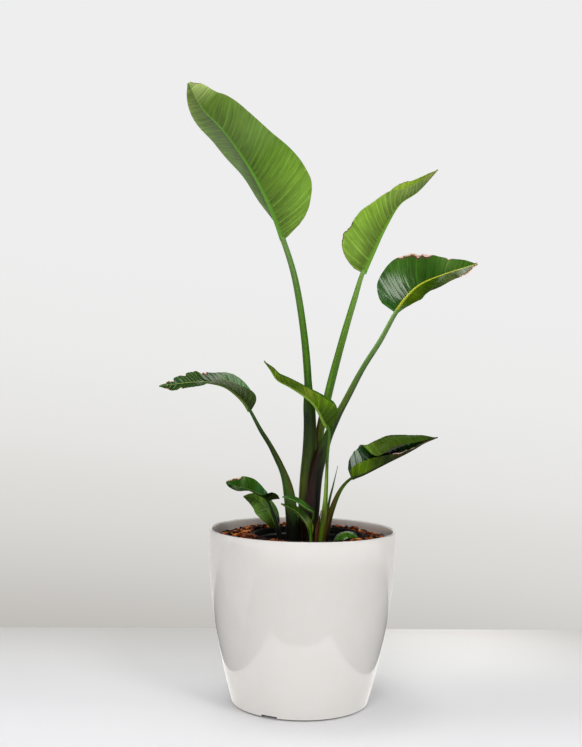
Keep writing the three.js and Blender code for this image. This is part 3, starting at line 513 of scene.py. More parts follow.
points, faces = turned(soil_profile, SOIL_SIDES)
tones = [0.3] * len(points)
for i in range(CRUMB_COUNT):
    angle = i * GOLDEN_ANGLE
    radius = (soil_rim - 6) * math.sqrt((i + 0.5) / CRUMB_COUNT)
    chip, chip_faces = bark_chip(rng)
    size = rng.uniform(0.15, 0.5)
    centre = (radius * math.cos(angle), radius * math.sin(angle), soil_height(radius) + 1)
    placed = chip * (size, size, size * 1.6) @ turn([rng.uniform(0, math.pi) for _ in range(3)]) + centre
    add_part(points, faces, placed.tolist(), chip_faces)
    tones += [rng.uniform(0.1, 0.55)] * len(chip)
for _ in range(FIBRE_COUNT):
    # A fibre lies as a thin bowed strip with a triangular section
    angle, heading = rng.uniform(0, 2 * math.pi), rng.uniform(0, 2 * math.pi)
    radius = (soil_rim - 14) * math.sqrt(rng.random())
    length, bow, girth = rng.uniform(*FIBRE_LENGTH), rng.uniform(-0.5, 0.5), rng.uniform(0.25, 0.6)
    fibre = []
    for step in range(FIBRE_STEPS):
        share = step / (FIBRE_STEPS - 1) - 0.5
        way = heading + bow * share * 2
        x = radius * math.cos(angle) + length * share * math.cos(way)
        y = radius * math.sin(angle) + length * share * math.sin(way)
        z = soil_height(math.hypot(x, y)) + 1.6 + 2.5 * (0.25 - share**2)
        for corner in range(3):
            around = 2 * math.pi * corner / 3
            aside = girth * math.cos(around)
            fibre.append((x - aside * math.sin(way), y + aside * math.cos(way), z + girth * math.sin(around)))
    add_part(points, faces, fibre, tube_faces(FIBRE_STEPS, 3))
    tones += [rng.uniform(0.6, 1.0)] * len(fibre)

# Damp peat: a matt, almost black brown. Its crumbs vary, and the fibres in it are dry and paler.
peat, add = new_finish("damp_peat")
CRUMB = 2.5
tone = add("Attribute", attribute_name="tone").outputs["Fac"]
place = add("TexCoord").outputs["Object"]
crumbs = add("TexNoise", {"Vector": place, "Scale": 1000 / CRUMB, "Detail": 5, "Roughness": 0.7})
mixed = add("Math", [crumbs, tone], operation="MULTIPLY")
tint = add(
    "ValToRGB", {"Fac": mixed}, stops=[(0.08, "070504"), (0.2, "120B07"), (0.34, "2A1A10"), (0.5, "5A3A22")]
)
relief = add("Bump", {"Height": crumbs, "Strength": 1.0, "Distance": 0.0015})
shader = add("BsdfPrincipled", {"Base Color": tint, "Roughness": 0.95, "Normal": relief})
add("OutputMaterial", {"Surface": shader})

points = [(x + NURSERY_X, y, z) for x, y, z in points]
soil = add_piece("soil_with_fibres", "potting_soil", points, faces, [peat], sharp_deg=50)
add_facts(soil, tone=tones)
join_close_points(soil)


# Leaves. Each is grown in one piece: a stalk that sheathes the heart of the clump at its foot, and a
# leathery blade on either side of the midrib that carries the stalk's line on. Side veins run out from the
# midrib, close together and steeply forward, and stand out as pleats.
LINE_SAMPLES = 60
ROW_SPACING = 2.6
BLADE_COLUMNS = 18
RIB_SHARES = (0, 0.35, 0.7, 1)
BLADE_THICKNESS = 1
LEAST_BLADE = 1.2
RIB_TIP_WIDTH = 0.7
RIB_TIP_DEPTH = 0.3
VEIN_SWEEP = 0.32
VEIN_BEND = 1.15
CURL_BEND = 1.4
CURL_STEPS = 10
SIDE_VEIN_SPACING = 9.5
VEIN_DRIFTS = 12
VEIN_DRIFT = 0.8
FRAY_GRAIN = 1.7
FRAY_ONSET = 0.04
TEAR_BROWNING = 3
STALK_STEP = 6
STALK_CORNERS = 24
STALK_CHANNEL = 0.45
STALK_INTO_BLADE = 7
LEAF_SHARP_DEG = 60


def smooth(t):
    return t * t * (3 - 2 * t)


def centreline(stalk, rib):
    """A smooth line through the points of a stalk and its midrib, as fine samples."""
    knots = np.array([*stalk, *rib], float)
    padded = [2 * knots[0] - knots[1], *knots, 2 * knots[-1] - knots[-2]]
    places = []
    for before, start, end, after in zip(padded, padded[1:], padded[2:], padded[3:]):
        d0, d1, d2 = (math.sqrt(math.dist(a, b)) for a, b in ((before, start), (start, end), (end, after)))
        leave = ((start - before) / d0 - (end - before) / (d0 + d1) + (end - start) / d1) * d1
        arrive = ((end - start) / d1 - (after - start) / (d1 + d2) + (after - end) / d2) * d1
        u = np.linspace(0, 1, LINE_SAMPLES, endpoint=False)[:, None]
        places.append(
            (1 + 2 * u) * (1 - u) ** 2 * start
            + u * (1 - u) ** 2 * leave
            + u * u * (3 - 2 * u) * end
            - u * u * (1 - u) * arrive
        )
    places = np.vstack([*places, knots[-1:]])
    travelled = np.concatenate([[0], np.cumsum(np.linalg.norm(np.diff(places, axis=0), axis=1))])
    length = travelled[-1]
    joint = travelled[LINE_SAMPLES * (len(stalk) - 1)] / length
    return {"places": places, "shares": travelled / length, "length": length, "joint": joint}


def leaf_frame(line, share, facing):
    """Places on a centreline, with the directions along it, up out of the upper side and to the left."""
    slopes = np.gradient(line["places"], line["shares"], axis=0)
    at, along = (
        np.stack([np.interp(share, line["shares"], values[:, axis]) for axis in range(3)], -1)
        for values in (line["places"], slopes)
    )
    along /= np.linalg.norm(along, axis=-1, keepdims=True)
    up = facing - (facing * along).sum(-1, keepdims=True) * along
    up /= np.linalg.norm(up, axis=-1, keepdims=True)
    return at, along, up, np.cross(up, along)


def table_at(table, column, s):
    """A smooth line through the rows of a table, which never runs beyond its rows."""
    rows = np.array(table, float)
    x, y = rows[:, 0], rows[:, column]
    slope = np.zeros(len(x))
    for i in range(1, len(x) - 1):
        if (y[i + 1] - y[i]) * (y[i] - y[i - 1]) > 0:
            slope[i] = (y[i + 1] - y[i - 1]) / (x[i + 1] - x[i - 1])
    right = np.clip(np.searchsorted(x, s), 1, len(x) - 1)
    left = right - 1
    span = x[right] - x[left]
    u = np.clip((s - x[left]) / span, 0, 1)
    start = (1 + 2 * u) * (1 - u) ** 2 * y[left] + u * (1 - u) ** 2 * span * slope[left]
    return start + smooth(u) * y[right] - u * u * (1 - u) * span * slope[right]


def three_stage(stages, t):
    """A direction that runs smoothly through three given ones: at the base, the middle and the tip."""
    base, middle, tip = (np.array(stage, float) for stage in stages)
    t = t[..., None]
    return base * (1 - t) * (1 - 2 * t) + middle * 4 * t * (1 - t) + tip * t * (2 * t - 1)


def swept(t):
    """How far ahead of its root a side vein meets the margin, as a share of the blade."""
    return VEIN_SWEEP * t**0.6 * (1 - t)


def half_surface(leaf, line, side, t, distance, half_width):
    """Points of one half's middle surface with their normals. Rows follow the side veins, which leave the
    midrib at the share t of the blade."""
    half = 0 if side > 0 else 1
    out = distance / half_width
    s = t + swept(t) * out**VEIN_BEND - leaf["lobe"][half] * (1 - t) ** 8 * out**1.5
    facing = three_stage(leaf["facing"][1:], np.maximum(s, 0))
    at, _, up, left = leaf_frame(line, line["joint"] + (1 - line["joint"]) * s, facing)
    fold = np.radians(table_at(leaf["fold"], half + 1, s))
    curl = np.radians(table_at(leaf["curl"], half + 1, s))
    # The half bends over step by step on its way out to its edge
    across = rise = 0
    for step in range(CURL_STEPS):
        angle = fold + curl * (out * (step + 0.5) / CURL_STEPS) ** CURL_BEND
        across = across + np.cos(angle) * half_width * out / CURL_STEPS
        rise = rise + np.sin(angle) * half_width * out / CURL_STEPS
    angle = fold + curl * out**CURL_BEND
    wave_height, wave_count = leaf["wave"]
    wave = wave_height * out**2 * np.sin(2 * math.pi * wave_count * s + 2 * half) * np.sin(math.pi * t)
    normal = -np.sin(angle)[..., None] * side * left + np.cos(angle)[..., None] * up
    point = at + (across * side)[..., None] * left + rise[..., None] * up + wave[..., None] * normal
    return point, normal, up, s


def blade(leaf, line, rng):
    """Points, faces and facts of a blade: a closed sheet with a keeled midrib, in rows along its veins."""
    neck = leaf["girth"][-1]
    length = (1 - line["joint"]) * line["length"]
    rows = max(16, round(length / ROW_SPACING))
    even = np.linspace(0, 1, rows + 1)
    # Rows lie closer together near the foot and the tip, and stop just short of them
    t = 0.004 + 0.992 * (0.7 * even + 0.3 * smooth(even))
    rib_width = RIB_TIP_WIDTH + (neck[1] - RIB_TIP_WIDTH) * (1 - t) ** 1.2
    rib_depth = RIB_TIP_DEPTH + (neck[2] * 1.5 - RIB_TIP_DEPTH) * (1 - t) ** 1.3
    # Side veins are never quite evenly spaced, and the pleats between them rise and fall
    drifts = [rng.uniform(-VEIN_DRIFT, VEIN_DRIFT) for _ in range(VEIN_DRIFTS)]
    drift = np.interp(even, np.linspace(0, 1, VEIN_DRIFTS), drifts)
    vein = t * length / SIDE_VEIN_SPACING + drift
    pleat = leaf["pleat"] * np.sin(2 * math.pi * vein) * np.minimum(1, 6 * even * (1 - even))
    fray_places = np.arange(0, length + 4, FRAY_GRAIN)
    fray = np.interp(t * length, fray_places, [rng.random() for _ in fray_places])
    halves = []
    for side in (1, -1):
        full = table_at(leaf["breadth"], 1 if side > 0 else 2, t + swept(t))
        half_width = np.maximum(full, rib_width + LEAST_BLADE)
        kept = np.ones_like(t)
        scorch_reach = np.zeros_like(t)
        for torn_side, place, reach, depth in leaf["torn"]:
            if torn_side == side:
                bite = np.maximum(0, 1 - np.abs(t - place) / reach)
                kept *= 1 - depth * bite
                scorch_reach = np.maximum(scorch_reach, TEAR_BROWNING * bite**0.5)
        bitten = np.zeros_like(t)
        for frayed_side, start, stop, depth, browning in leaf["frayed"]:
            if frayed_side == side:
                # A stretch sets in softly at its ends, but not at the blade's foot
                soft = np.minimum(t - start, stop - t) / FRAY_ONSET + (start == 0) * 9 * (t < FRAY_ONSET)
                soft = np.clip(soft, 0, 1)
                bitten = np.maximum(bitten, soft * depth * fray)
                scorch_reach = np.maximum(scorch_reach, soft * browning * (0.4 + 0.9 * fray))
        edge = np.maximum(full * kept - bitten, rib_width + LEAST_BLADE)
        outward = np.linspace(0, 1, BLADE_COLUMNS + 1)[1:]
        outward = outward + 0.25 * outward * (1 - outward)
        over_rib = rib_width[:, None] * np.array(RIB_SHARES)
        beside_rib = rib_width[:, None] + (edge - rib_width)[:, None] * outward
        distance = np.concatenate([over_rib, beside_rib], axis=1)
        grid_t = np.broadcast_to(t[:, None], distance.shape)
        point, normal, up, s = half_surface(leaf, line, side, grid_t, distance, half_width[:, None])
        in_rib = np.clip(1 - distance / rib_width[:, None], 0, 1)
        outside = np.clip((distance - rib_width[:, None]) / 4, 0, 1)
        # Pleats are deepest near the midrib
        point = point + (pleat[:, None] * outside * (1 - 0.6 * distance / edge[:, None]))[..., None] * normal
        # The halves meet at the midrib, where the sheet's normal is the leaf's own
        blend = smooth(1 - in_rib)[..., None]
        normal = normal * blend + up * (1 - blend)
        thick = BLADE_THICKNESS * (1 - 0.5 * np.clip(distance / edge[:, None], 0, 1) ** 3)
        to_edge = edge[:, None] - distance
        scorched = np.clip(1 - to_edge / np.maximum(scorch_reach[:, None], 0.01), 0, 1)
        keel = rib_depth[:, None] * np.sqrt(1 - (1 - in_rib) ** 2)
        upper = point + normal * (thick / 2)[..., None]
        lower = point - normal * (thick / 2)[..., None] - up * keel[..., None]
        facts = {
            "vein": np.broadcast_to(vein[:, None], distance.shape),
            "reach": distance,
            "from_edge": to_edge,
            "rib": in_rib,
            "along": s,
            "left_half": np.full(distance.shape, 1.0 if side > 0 else 0.0),
            "scorch": scorched * np.clip(scorch_reach[:, None] - 0.5, 0, 1),
        }
        halves.append((upper, lower, facts))
    (left_upper, left_lower, left_facts), (right_upper, right_lower, right_facts) = halves

    def ring_of(left_over, right_over, right_under, left_under):
        """From the left edge over the midrib to the right edge, and back along the under face."""
        parts = [left_over[:, ::-1], right_over[:, 1:], right_under[:, ::-1], left_under[:, 1:]]
        return np.concatenate(parts, axis=1)

    rings = ring_of(left_upper, right_upper, right_lower, left_lower)
    facts = {
        name: ring_of(left, right_facts[name], right_facts[name], left) for name, left in left_facts.items()
    }
    count = rings.shape[1]
    upper_count = count // 2
    facts["upper"] = np.tile((np.arange(count) < upper_count).astype(float), (rows + 1, 1))
    faces = tube_faces(rows + 1, count, ends=False)
    for first, forward in ((0, False), (rows * count, True)):
        for j in range(upper_count - 1):
            corners = (first + j, first + j + 1, first + count - 2 - j, first + count - 1 - j)
            faces.append(corners if forward else corners[::-1])
    return rings.reshape(-1, 3), faces, {name: values.ravel() for name, values in facts.items()}


def girth_at(girth, t):
    rows = np.array(girth, float)
    right = np.clip(np.searchsorted(rows[:, 0], t), 1, len(rows) - 1)
    left = right - 1
    mix = smooth(np.clip((t - rows[left, 0]) / (rows[right, 0] - rows[left, 0]), 0, 1))[:, None]
    return (rows[left, 1:] * (1 - mix) + rows[right, 1:] * mix).T


def stalk(leaf, line):
    """Points, faces and facts of a stalk: a round-backed stem with a channel along its upper side."""
    run_on = STALK_INTO_BLADE / line["length"] if leaf["rib"] else 0
    steps = max(10, round(line["joint"] * line["length"] / STALK_STEP))
    t = np.linspace(0, 1, steps + 1)
    across, through = girth_at(leaf["girth"], t)
    mix = smooth(t)[:, None]
    facing = np.array(leaf["facing"][0], float) * (1 - mix) + np.array(leaf["facing"][1], float) * mix
    at, _, up, left = leaf_frame(line, (line["joint"] + run_on) * t, facing)
    angle = 2 * math.pi * np.arange(STALK_CORNERS) / STALK_CORNERS
    side = np.cos(angle) * across[:, None]
    channel = STALK_CHANNEL * (t * through)[:, None] * np.maximum(0, np.sin(angle)) ** 4
    height = np.sin(angle) * through[:, None] - channel
    points = at[:, None] + side[..., None] * left[:, None] + height[..., None] * up[:, None]
    distance = np.broadcast_to((t * line["joint"] * line["length"])[:, None], side.shape)
    facts = {
        "grain": np.stack([side, height, distance], -1).reshape(-1, 3),
        "along": np.broadcast_to(t[:, None], side.shape).ravel(),
        "upper": np.broadcast_to(0.5 + 0.5 * np.sin(angle), side.shape).ravel(),
        "left_half": np.broadcast_to(0.5 + 0.5 * np.cos(angle), side.shape).ravel(),
    }
    return points.reshape(-1, 3), tube_faces(steps + 1, STALK_CORNERS), facts


def even_stops(codes):
    """Colours from the blade's foot to its tip, evenly spread."""
    codes = codes.split()
    return [(0.02 + 0.96 * i / (len(codes) - 1), code) for i, code in enumerate(codes)]


# The blade's tissue: leathery, and waxed on its upper face, which is dark and glossy. The under face is
# paler and duller. Side veins show as fine lighter lines, 9.5 mm apart with three finer ones between them.
STREAK_LENGTH = 45
TISSUE_PATCH = 40
DRY_SPOT = 4


def blade_finish(leaf):
    finish, add = new_finish("waxy_tissue_of_" + leaf["node"])
    facts = {
        name: add("Attribute", attribute_name=name).outputs["Fac"]
        for name in ("vein", "reach", "from_edge", "rib", "along", "left_half", "scorch", "upper")
    }
    place = add("TexCoord").outputs["Object"]

    # Streaks run along the side veins, and soft patches lie over them
    across_veins = add("Math", [facts["vein"], 1.6], operation="MULTIPLY")
    along_veins = add("Math", [facts["reach"], 1 / STREAK_LENGTH], operation="MULTIPLY")
    weave = add("CombineXYZ", {"X": across_veins, "Y": along_veins, "Z": facts["left_half"]})
    streaks = add("TexNoise", {"Vector": weave, "Scale": 1.0, "Detail": 3, "Roughness": 0.6})
    patches = add("TexNoise", {"Vector": place, "Scale": 1000 / TISSUE_PATCH, "Detail": 2})

    def vein_lines(count, width):
        spread = add("Math", [facts["vein"], count], operation="MULTIPLY")
        to_line = add("Math", [spread, 0.5], operation="PINGPONG")
        lines = add("MapRange", [to_line, 0, width, 1, 0], interpolation_type="SMOOTHSTEP")
        return add("Math", [lines, streaks], operation="MULTIPLY")

    main_veins = vein_lines(1, 0.13)
    fine_veins = vein_lines(4, 0.3)

    def face_tint(halves):
        left, right = (add("ValToRGB", {"Fac": facts["along"]}, stops=even_stops(codes)) for codes in halves)
        return add("Mix", {"Factor": facts["left_half"], "A": right, "B": left}, data_type="RGBA")

    def two_faced(under, upper):
        return add("Mix", {"Factor": facts["upper"], "A": under, "B": upper}, data_type="RGBA")

    tissue = two_faced(face_tint(leaf["under"]), face_tint(leaf["upper"]))
    # Light and dark bands along the veins: the tissue's own tone, and painted shade of the pleats between
    # them
    shade = add("MapRange", [streaks, 0.3, 0.7, 0.7, 1.26])
    blotch = add("MapRange", [patches, 0.3, 0.7, 0.9, 1.1])
    shade = add("Math", [shade, blotch], operation="MULTIPLY")
    # Painted shade and light across each half: the tissue's lightness runs from beside the midrib to 70 mm
    # out, as each leaf gives it
    near, far = (
        add("Mix", {"Factor": facts["left_half"], "A": right, "B": left}, data_type="FLOAT")
        for left, right in zip(*leaf["depth"])
    )
    outward = add("MapRange", [facts["reach"], 3, 70, near, far])
    shade = add("Math", [shade, outward], operation="MULTIPLY")
    for veins, lift in ((main_veins, 0.9), (fine_veins, 0.25)):
        shade = add("Math", [veins, lift, shade], operation="MULTIPLY_ADD")
    tissue = add("VectorMath", {0: tissue, "Scale": shade}, operation="SCALE")

    upper_rib, under_rib = (srgb(code) for code in leaf["rib_tints"])
    rib_tint = two_faced(under_rib, upper_rib)
    rib_share = add("MapRange", [facts["rib"], 0, 0.35])
    tissue = add("Mix", {"Factor": rib_share, "A": tissue, "B": rib_tint}, data_type="RGBA")

    rim = add("MapRange", [facts["from_edge"], 0.1, 0.7, 0.7, 0])
    rim = add("Math", [rim, patches], operation="MULTIPLY")
    tissue = add("Mix", {"Factor": rim, "A": tissue, "B": srgb(leaf["margin"])}, data_type="RGBA")

    # Dried edges run from yellow through brown to a pale papery tan
    spots = add("TexNoise", {"Vector": place, "Scale": 1000 / DRY_SPOT, "Detail": 3})
    dried = add("Math", [facts["scorch"], spots], operation="MULTIPLY")
    dried = add("Math", [dried, 1.4], operation="MULTIPLY")
    dried_share = add("MapRange", [dried, 0.06, 0.16])
    dried_tint = add(
        "ValToRGB",
        {"Fac": dried},
        stops=[(0.08, "4A4A14"), (0.2, "3A2412"), (0.36, "7A4A2E"), (0.5, "E2C4B0")],
    )
    tissue = add("Mix", {"Factor": dried_share, "A": tissue, "B": dried_tint}, data_type="RGBA")

    wax = add("MapRange", [facts["upper"], 0, 1, 0.42, 0.12])
    dulled = add("Math", [patches, 0.1], operation="MULTIPLY")
    rough = add("Math", [wax, dulled], operation="ADD")
    rough = add("Mix", {"Factor": dried_share, "A": rough, "B": 0.8}, data_type="FLOAT")
    height = add("Math", [main_veins, streaks], operation="ADD")
    relief = add("Bump", {"Height": height, "Strength": 0.5, "Distance": 0.0006})
    polish = add("MapRange", [facts["upper"], 0, 1, 0.15, 0.5])
    shader = add(
        "BsdfPrincipled",
        {"Base Color": tissue, "Roughness": rough, "Specular IOR Level": polish, "Normal": relief},
    )
    add("OutputMaterial", {"Surface": shader})
    return finish


# The stalk's skin: smooth, firm and slightly waxed, with fine fibres that run its length. Towards its foot it
# turns purple-brown to black, where it sheathes the heart of the clump. Fibres are drawn 2 mm wide and
# 67 mm long, and stains 4 mm wide and 25 mm long.
def stalk_finish(leaf):
    finish, add = new_finish("ribbed_skin_of_" + leaf["node"])
    along, upper, left_half = (
        add("Attribute", attribute_name=name).outputs["Fac"] for name in ("along", "upper", "left_half")
    )
    grain = add("Attribute", attribute_name="grain").outputs["Vector"]
    drawn_out = add("Mapping", {"Vector": grain, "Scale": (0.5, 0.5, 0.015)})
    fibres = add("TexNoise", {"Vector": drawn_out, "Scale": 1.0, "Detail": 2})
    drawn_out = add("Mapping", {"Vector": grain, "Scale": (0.25, 0.25, 0.04)})
    stains = add("TexNoise", {"Vector": drawn_out, "Scale": 1.0, "Detail": 3})
    wander = add("MapRange", [stains, 0, 1, -0.08, 0.08])
    height = add("Math", [along, wander], operation="ADD")
    upper_tint, under_tint = (
        add("ValToRGB", {"Fac": height}, stops=leaf[side]) for side in ("stalk_upper", "stalk_under")
    )
    # The two sides' colours differ partly as painted shade on the side turned from the light
    turned_up = add("MapRange", [upper, 0.25, 0.75], interpolation_type="SMOOTHSTEP")
    skin = add("Mix", {"Factor": turned_up, "A": under_tint, "B": upper_tint}, data_type="RGBA")
    shade = add("MapRange", [fibres, 0.3, 0.7, 0.84, 1.14])
    # Painted shade: the stalk darker at one side than the other, as the leaf gives it
    dark, light = leaf.get("stalk_sides", (1, 1))
    sides = add("MapRange", [left_half, 0.1, 0.8, dark, light])
    shade = add("Math", [shade, sides], operation="MULTIPLY")
    skin = add("VectorMath", {0: skin, "Scale": shade}, operation="SCALE")
    relief = add("Bump", {"Height": fibres, "Strength": 0.1, "Distance": 0.0003})
    dulled = add("MapRange", [stains, 0, 1, 0.3, 0.45])
    shader = add(
        "BsdfPrincipled",
        {"Base Color": skin, "Roughness": dulled, "Specular IOR Level": 0.25, "Normal": relief},
    )
    add("OutputMaterial", {"Surface": shader})
    return finish


def add_leaf(node, seed, **form):
    leaf = {**PLAIN_LEAF, **form, "node": node}
    line = centreline(leaf["stalk"], leaf["rib"])
    stalk_points, stalk_faces, stalk_facts = stalk(leaf, line)
    blade_points, blade_faces, blade_facts = blade(leaf, line, random.Random(seed))
    points, faces = stalk_points.tolist(), list(stalk_faces)
    add_part(points, faces, blade_points.tolist(), blade_faces)
    finishes = [stalk_finish(leaf), blade_finish(leaf)]
    piece = add_piece(node + "_grown", node, points, faces, finishes, LEAF_SHARP_DEG)
    piece.data.polygons.foreach_set("material_index", [0] * len(stalk_faces) + [1] * len(blade_faces))
    facts = {}
    for name in {*stalk_facts, *blade_facts}:
        shape = (3,) if name == "grain" else ()
        empty = [np.zeros((len(part), *shape)) for part in (stalk_points, blade_points)]
        facts[name] = np.concatenate([stalk_facts.get(name, empty[0]), blade_facts.get(name, empty[1])])
    add_facts(piece, **facts)


# What each leaf is told:
# stalk, rib: points of the centreline, from the soil to the blade and from there to the tip.
# girth: half thickness of the stalk, as (share of its length, across, through its upper side).
# facing: the way the upper side faces, at the foot, where the blade starts, at mid-blade and at the tip.
# breadth: half width of the halves at the left and the right of the midrib, seen from above with the tip
# ahead, as (share of the blade, left, right).
# fold, curl: the angles in degrees at which each half rises from the midrib and turns over at its edge.
# lobe: how far each half reaches back beside the stalk, as a share of the blade.
# wave: height and count of the waves along an edge.
# torn: bites out of an edge, as (1 for the left half, place along the blade, reach, depth).
# pleat: height of the pleats in mm.
# frayed: stretches of an edge that have dried and frayed, as (1 for the left half, from, to, depth in mm,
# how far in mm the browning reaches).
# upper, under: colours of the two faces from the blade's foot to its tip, for the left and the right half.
# Beside the tissue's own colour they hold painted shade and highlight, where a stretch lies in shade or
# catches the light.
# depth: how light the tissue is beside the midrib and 70 mm out, for the left and the right half, as painted
# shade and light.
# rib_tints: colours of the midrib on the upper and the under face. margin: colour of the blade's edge.
# stalk_upper, stalk_under: colours of the stalk's two sides, as (share of its length, colour). Where one
# side is darker than the other, that is partly painted shade.
# stalk_sides: painted shade across the stalk: how light it is at its right and at its left, where they
# differ.
PLAIN_LEAF = dict(
    torn=[], frayed=[], lobe=(0, 0), curl=[(0, 0, 0), (1, 0, 0)], pleat=0.3, depth=((0.62, 1.4), (0.62, 1.4))
)
add_leaf(
    "leaf_tall_left",
    seed=1,
    stalk=[
        (6, 8, 269), (5, 6, 337), (7, 4, 412), (12, 2, 488), (8, 0, 573), (-3, -2, 685), (-23, -6, 794),
        (-45, -10, 861),
    ],
    rib=[(-73, -14, 929), (-111, -20, 996), (-163, -28, 1065), (-202, -33, 1104), (-227, -36, 1149)],
    girth=[(0, 12, 14), (0.33, 12, 14), (0.45, 11, 12.5), (0.55, 8, 7.6), (0.75, 7, 6.6), (1, 5.6, 5.2)],
    facing=[(1, 0, 0), (0.745, 0.63, 0.22), (0.56, 0.73, 0.41), (0.42, 0.72, 0.56)],
    breadth=[
        (0, 6, 6), (0.03, 22, 20), (0.06, 44, 36), (0.13, 70, 60), (0.25, 91, 84), (0.34, 89, 90),
        (0.42, 82, 92), (0.52, 70, 88), (0.65, 60, 76), (0.8, 49, 59), (0.9, 35, 38), (0.96, 22, 21),
        (1, 5, 5),
    ],
    fold=[(0, 45, 46), (0.3, 40, 39), (0.5, 36, 38), (1, 28, 18)],
    curl=[(0, -10, -10), (1, 0, 0)],
    wave=(2, 2.5),
    frayed=[(1, 0, 0.05, 2, 2), (1, 0.93, 1, 1.5, 3)],
    upper=2 * ("3F7A1C 3F7A1C 4A8A22",),
    under=(
        "6A8C2E 62842A 608226 52741E 5F7E33 5C7A2E 5E7E28 B4CA74",
        "50702C 5A742E 506F28 52722A 547424 587730 6C8838 8CA248",
    ),
    rib_tints=("B8C860", "5E9030"),
    margin="7A3A1A",
    stalk_upper=[
        (0, "100C0A"), (0.12, "14120C"), (0.35, "304008"), (0.42, "263506"), (0.55, "2A5010"),
        (0.7, "3A6A1A"), (1, "5A8440"),
    ],
    stalk_under=[
        (0, "140E0A"), (0.09, "1A140B"), (0.21, "485306"), (0.31, "2E4206"), (0.43, "102406"),
        (0.58, "47740E"), (0.69, "4B7610"), (0.81, "567D2C"), (1, "6C904C"),
    ],
)
add_leaf(
    "leaf_tall_middle",
    seed=2,
    stalk=[
        (19, 16, 268), (21, 18, 374), (27, 20, 487), (44, 22, 577), (68.5, 24, 678), (91, 25, 759),
        (105, 26, 806),
    ],
    rib=[(125, 26, 851), (147, 24, 897), (174, 18, 940), (206, 8, 961), (243, -6, 1000)],
    girth=[
        (0, 12, 11), (0.4, 11, 9), (0.5, 11, 9), (0.6, 9.2, 8.8), (0.74, 8.4, 8), (0.86, 7, 7), (1, 5.2, 5.2),
    ],
    facing=[(-1, 0, 0), (-0.88, 0.05, 0.475), (-0.79, -0.12, 0.6), (-0.67, -0.28, 0.69)],
    breadth=[
        (0, 8, 12), (0.03, 26, 34), (0.07, 46, 57), (0.2, 66, 82), (0.38, 60, 82), (0.52, 52, 68),
        (0.62, 46, 58), (0.72, 42, 44), (0.83, 28, 31), (0.92, 14, 17), (1, 2, 2),
    ],
    fold=[(0, 40, 56), (0.5, 32, 40), (1, 34, 32)],
    lobe=(0, 0.01),
    wave=(1.5, 2),
    frayed=[(-1, 0, 0.22, 4, 1.4), (1, 0.55, 0.7, 2, 2)],
    upper=("3F7A1C 6A9024 8CA836 78A020", "3F7A1C 5A8A20 62961C 55940E"),
    under=("6A8A42 6A8A42", "7A9C36 7A9E38 7A9F34 7EA42E 88AE36 88AA32 74942E BAC444"),
    pleat=0.55,
    depth=((0.62, 1.4), (0.5, 1.4)),
    rib_tints=("E4E04A", "6FA034"),
    margin="B89A3A",
    stalk_upper=[
        (0, "14100E"), (0.3, "2A2410"), (0.43, "4C3E16"), (0.58, "5E8C24"), (0.69, "58821E"),
        (0.81, "56851C"), (1, "5E9030"),
    ],
    stalk_under=[
        (0, "14100E"), (0.3, "2A3A0C"), (0.43, "526C08"), (0.58, "3E6C0A"), (0.69, "487014"),
        (0.81, "61872F"), (1, "80A650"),
    ],
)
add_leaf(
    "leaf_upper_right",
    seed=3,
    stalk=[
        (13, -10, 272), (17, -10, 349), (26, -10, 442), (54, -12, 519), (77.5, -14, 566), (107.5, -18, 625),
        (139, -24, 677), (165, -30, 727),
    ],
    rib=[(183, -34, 754), (207, -40, 778), (251, -52, 798), (310, -66, 817)],
    girth=[(0, 9, 14), (0.36, 9, 14), (0.5, 8, 8.5), (0.6, 6.4, 6.4), (0.78, 5.1, 5), (1, 4.2, 4.2)],
    facing=[(-1, 0, 0), (-0.44, -0.81, 0.39), (-0.31, -0.67, 0.68), (-0.23, -0.63, 0.74)],
    breadth=[
        (0, 26, 18), (0.03, 37, 28), (0.07, 47, 41), (0.14, 60, 56), (0.24, 68, 68), (0.34, 74, 77),
        (0.43, 71, 75), (0.53, 60, 60), (0.65, 47, 44), (0.76, 34, 34), (0.88, 20, 25), (1, 4, 4),
    ],
    fold=[(0, 36, 46), (0.2, 28, 36), (0.35, 22, 26), (0.5, 18, 23), (1, 5, 0)],
    torn=[(1, 0.3, 0.03, 0.03), (1, 0.38, 0.04, 0.05), (1, 0.46, 0.025, 0.02)],
    wave=(2, 2.5),
    pleat=0.5,
    frayed=[(1, 0.24, 0.5, 3, 9), (1, 0.6, 0.7, 2, 4), (1, 0.93, 1, 2, 8), (-1, 0.7, 1, 3, 6)],
    upper=(
        "2E6212 224E0C 3C6420 386018 36601A 50762A 406A18 427010",
        "386904 445B08 506709 304604 284402 4A5828 2C4412 30500E",
    ),
    under=("4F8A10 4F8A10 5F7A40", "4F8A10 4F8A10 56742A 6A7062"),
    depth=((0.7, 1.1), (1.5, 0.55)),
    stalk_sides=(0.45, 1.0),
    rib_tints=("CCD040", "6FA040"),
    margin="4A3A20",
    stalk_upper=[
        (0, "140C0A"), (0.1, "22120C"), (0.22, "4A2826"), (0.31, "26120A"), (0.38, "30180B"),
        (0.43, "42561C"), (0.5, "4E7828"), (0.62, "748E3A"), (0.72, "6A9644"), (1, "98C46A"),
    ],
    stalk_under=[
        (0, "1E1E10"), (0.09, "505A1A"), (0.19, "0E120A"), (0.31, "1A2408"), (0.38, "3A5A20"),
        (0.43, "4A6A28"), (0.55, "2E5414"), (1, "2E5018"),
    ],
)
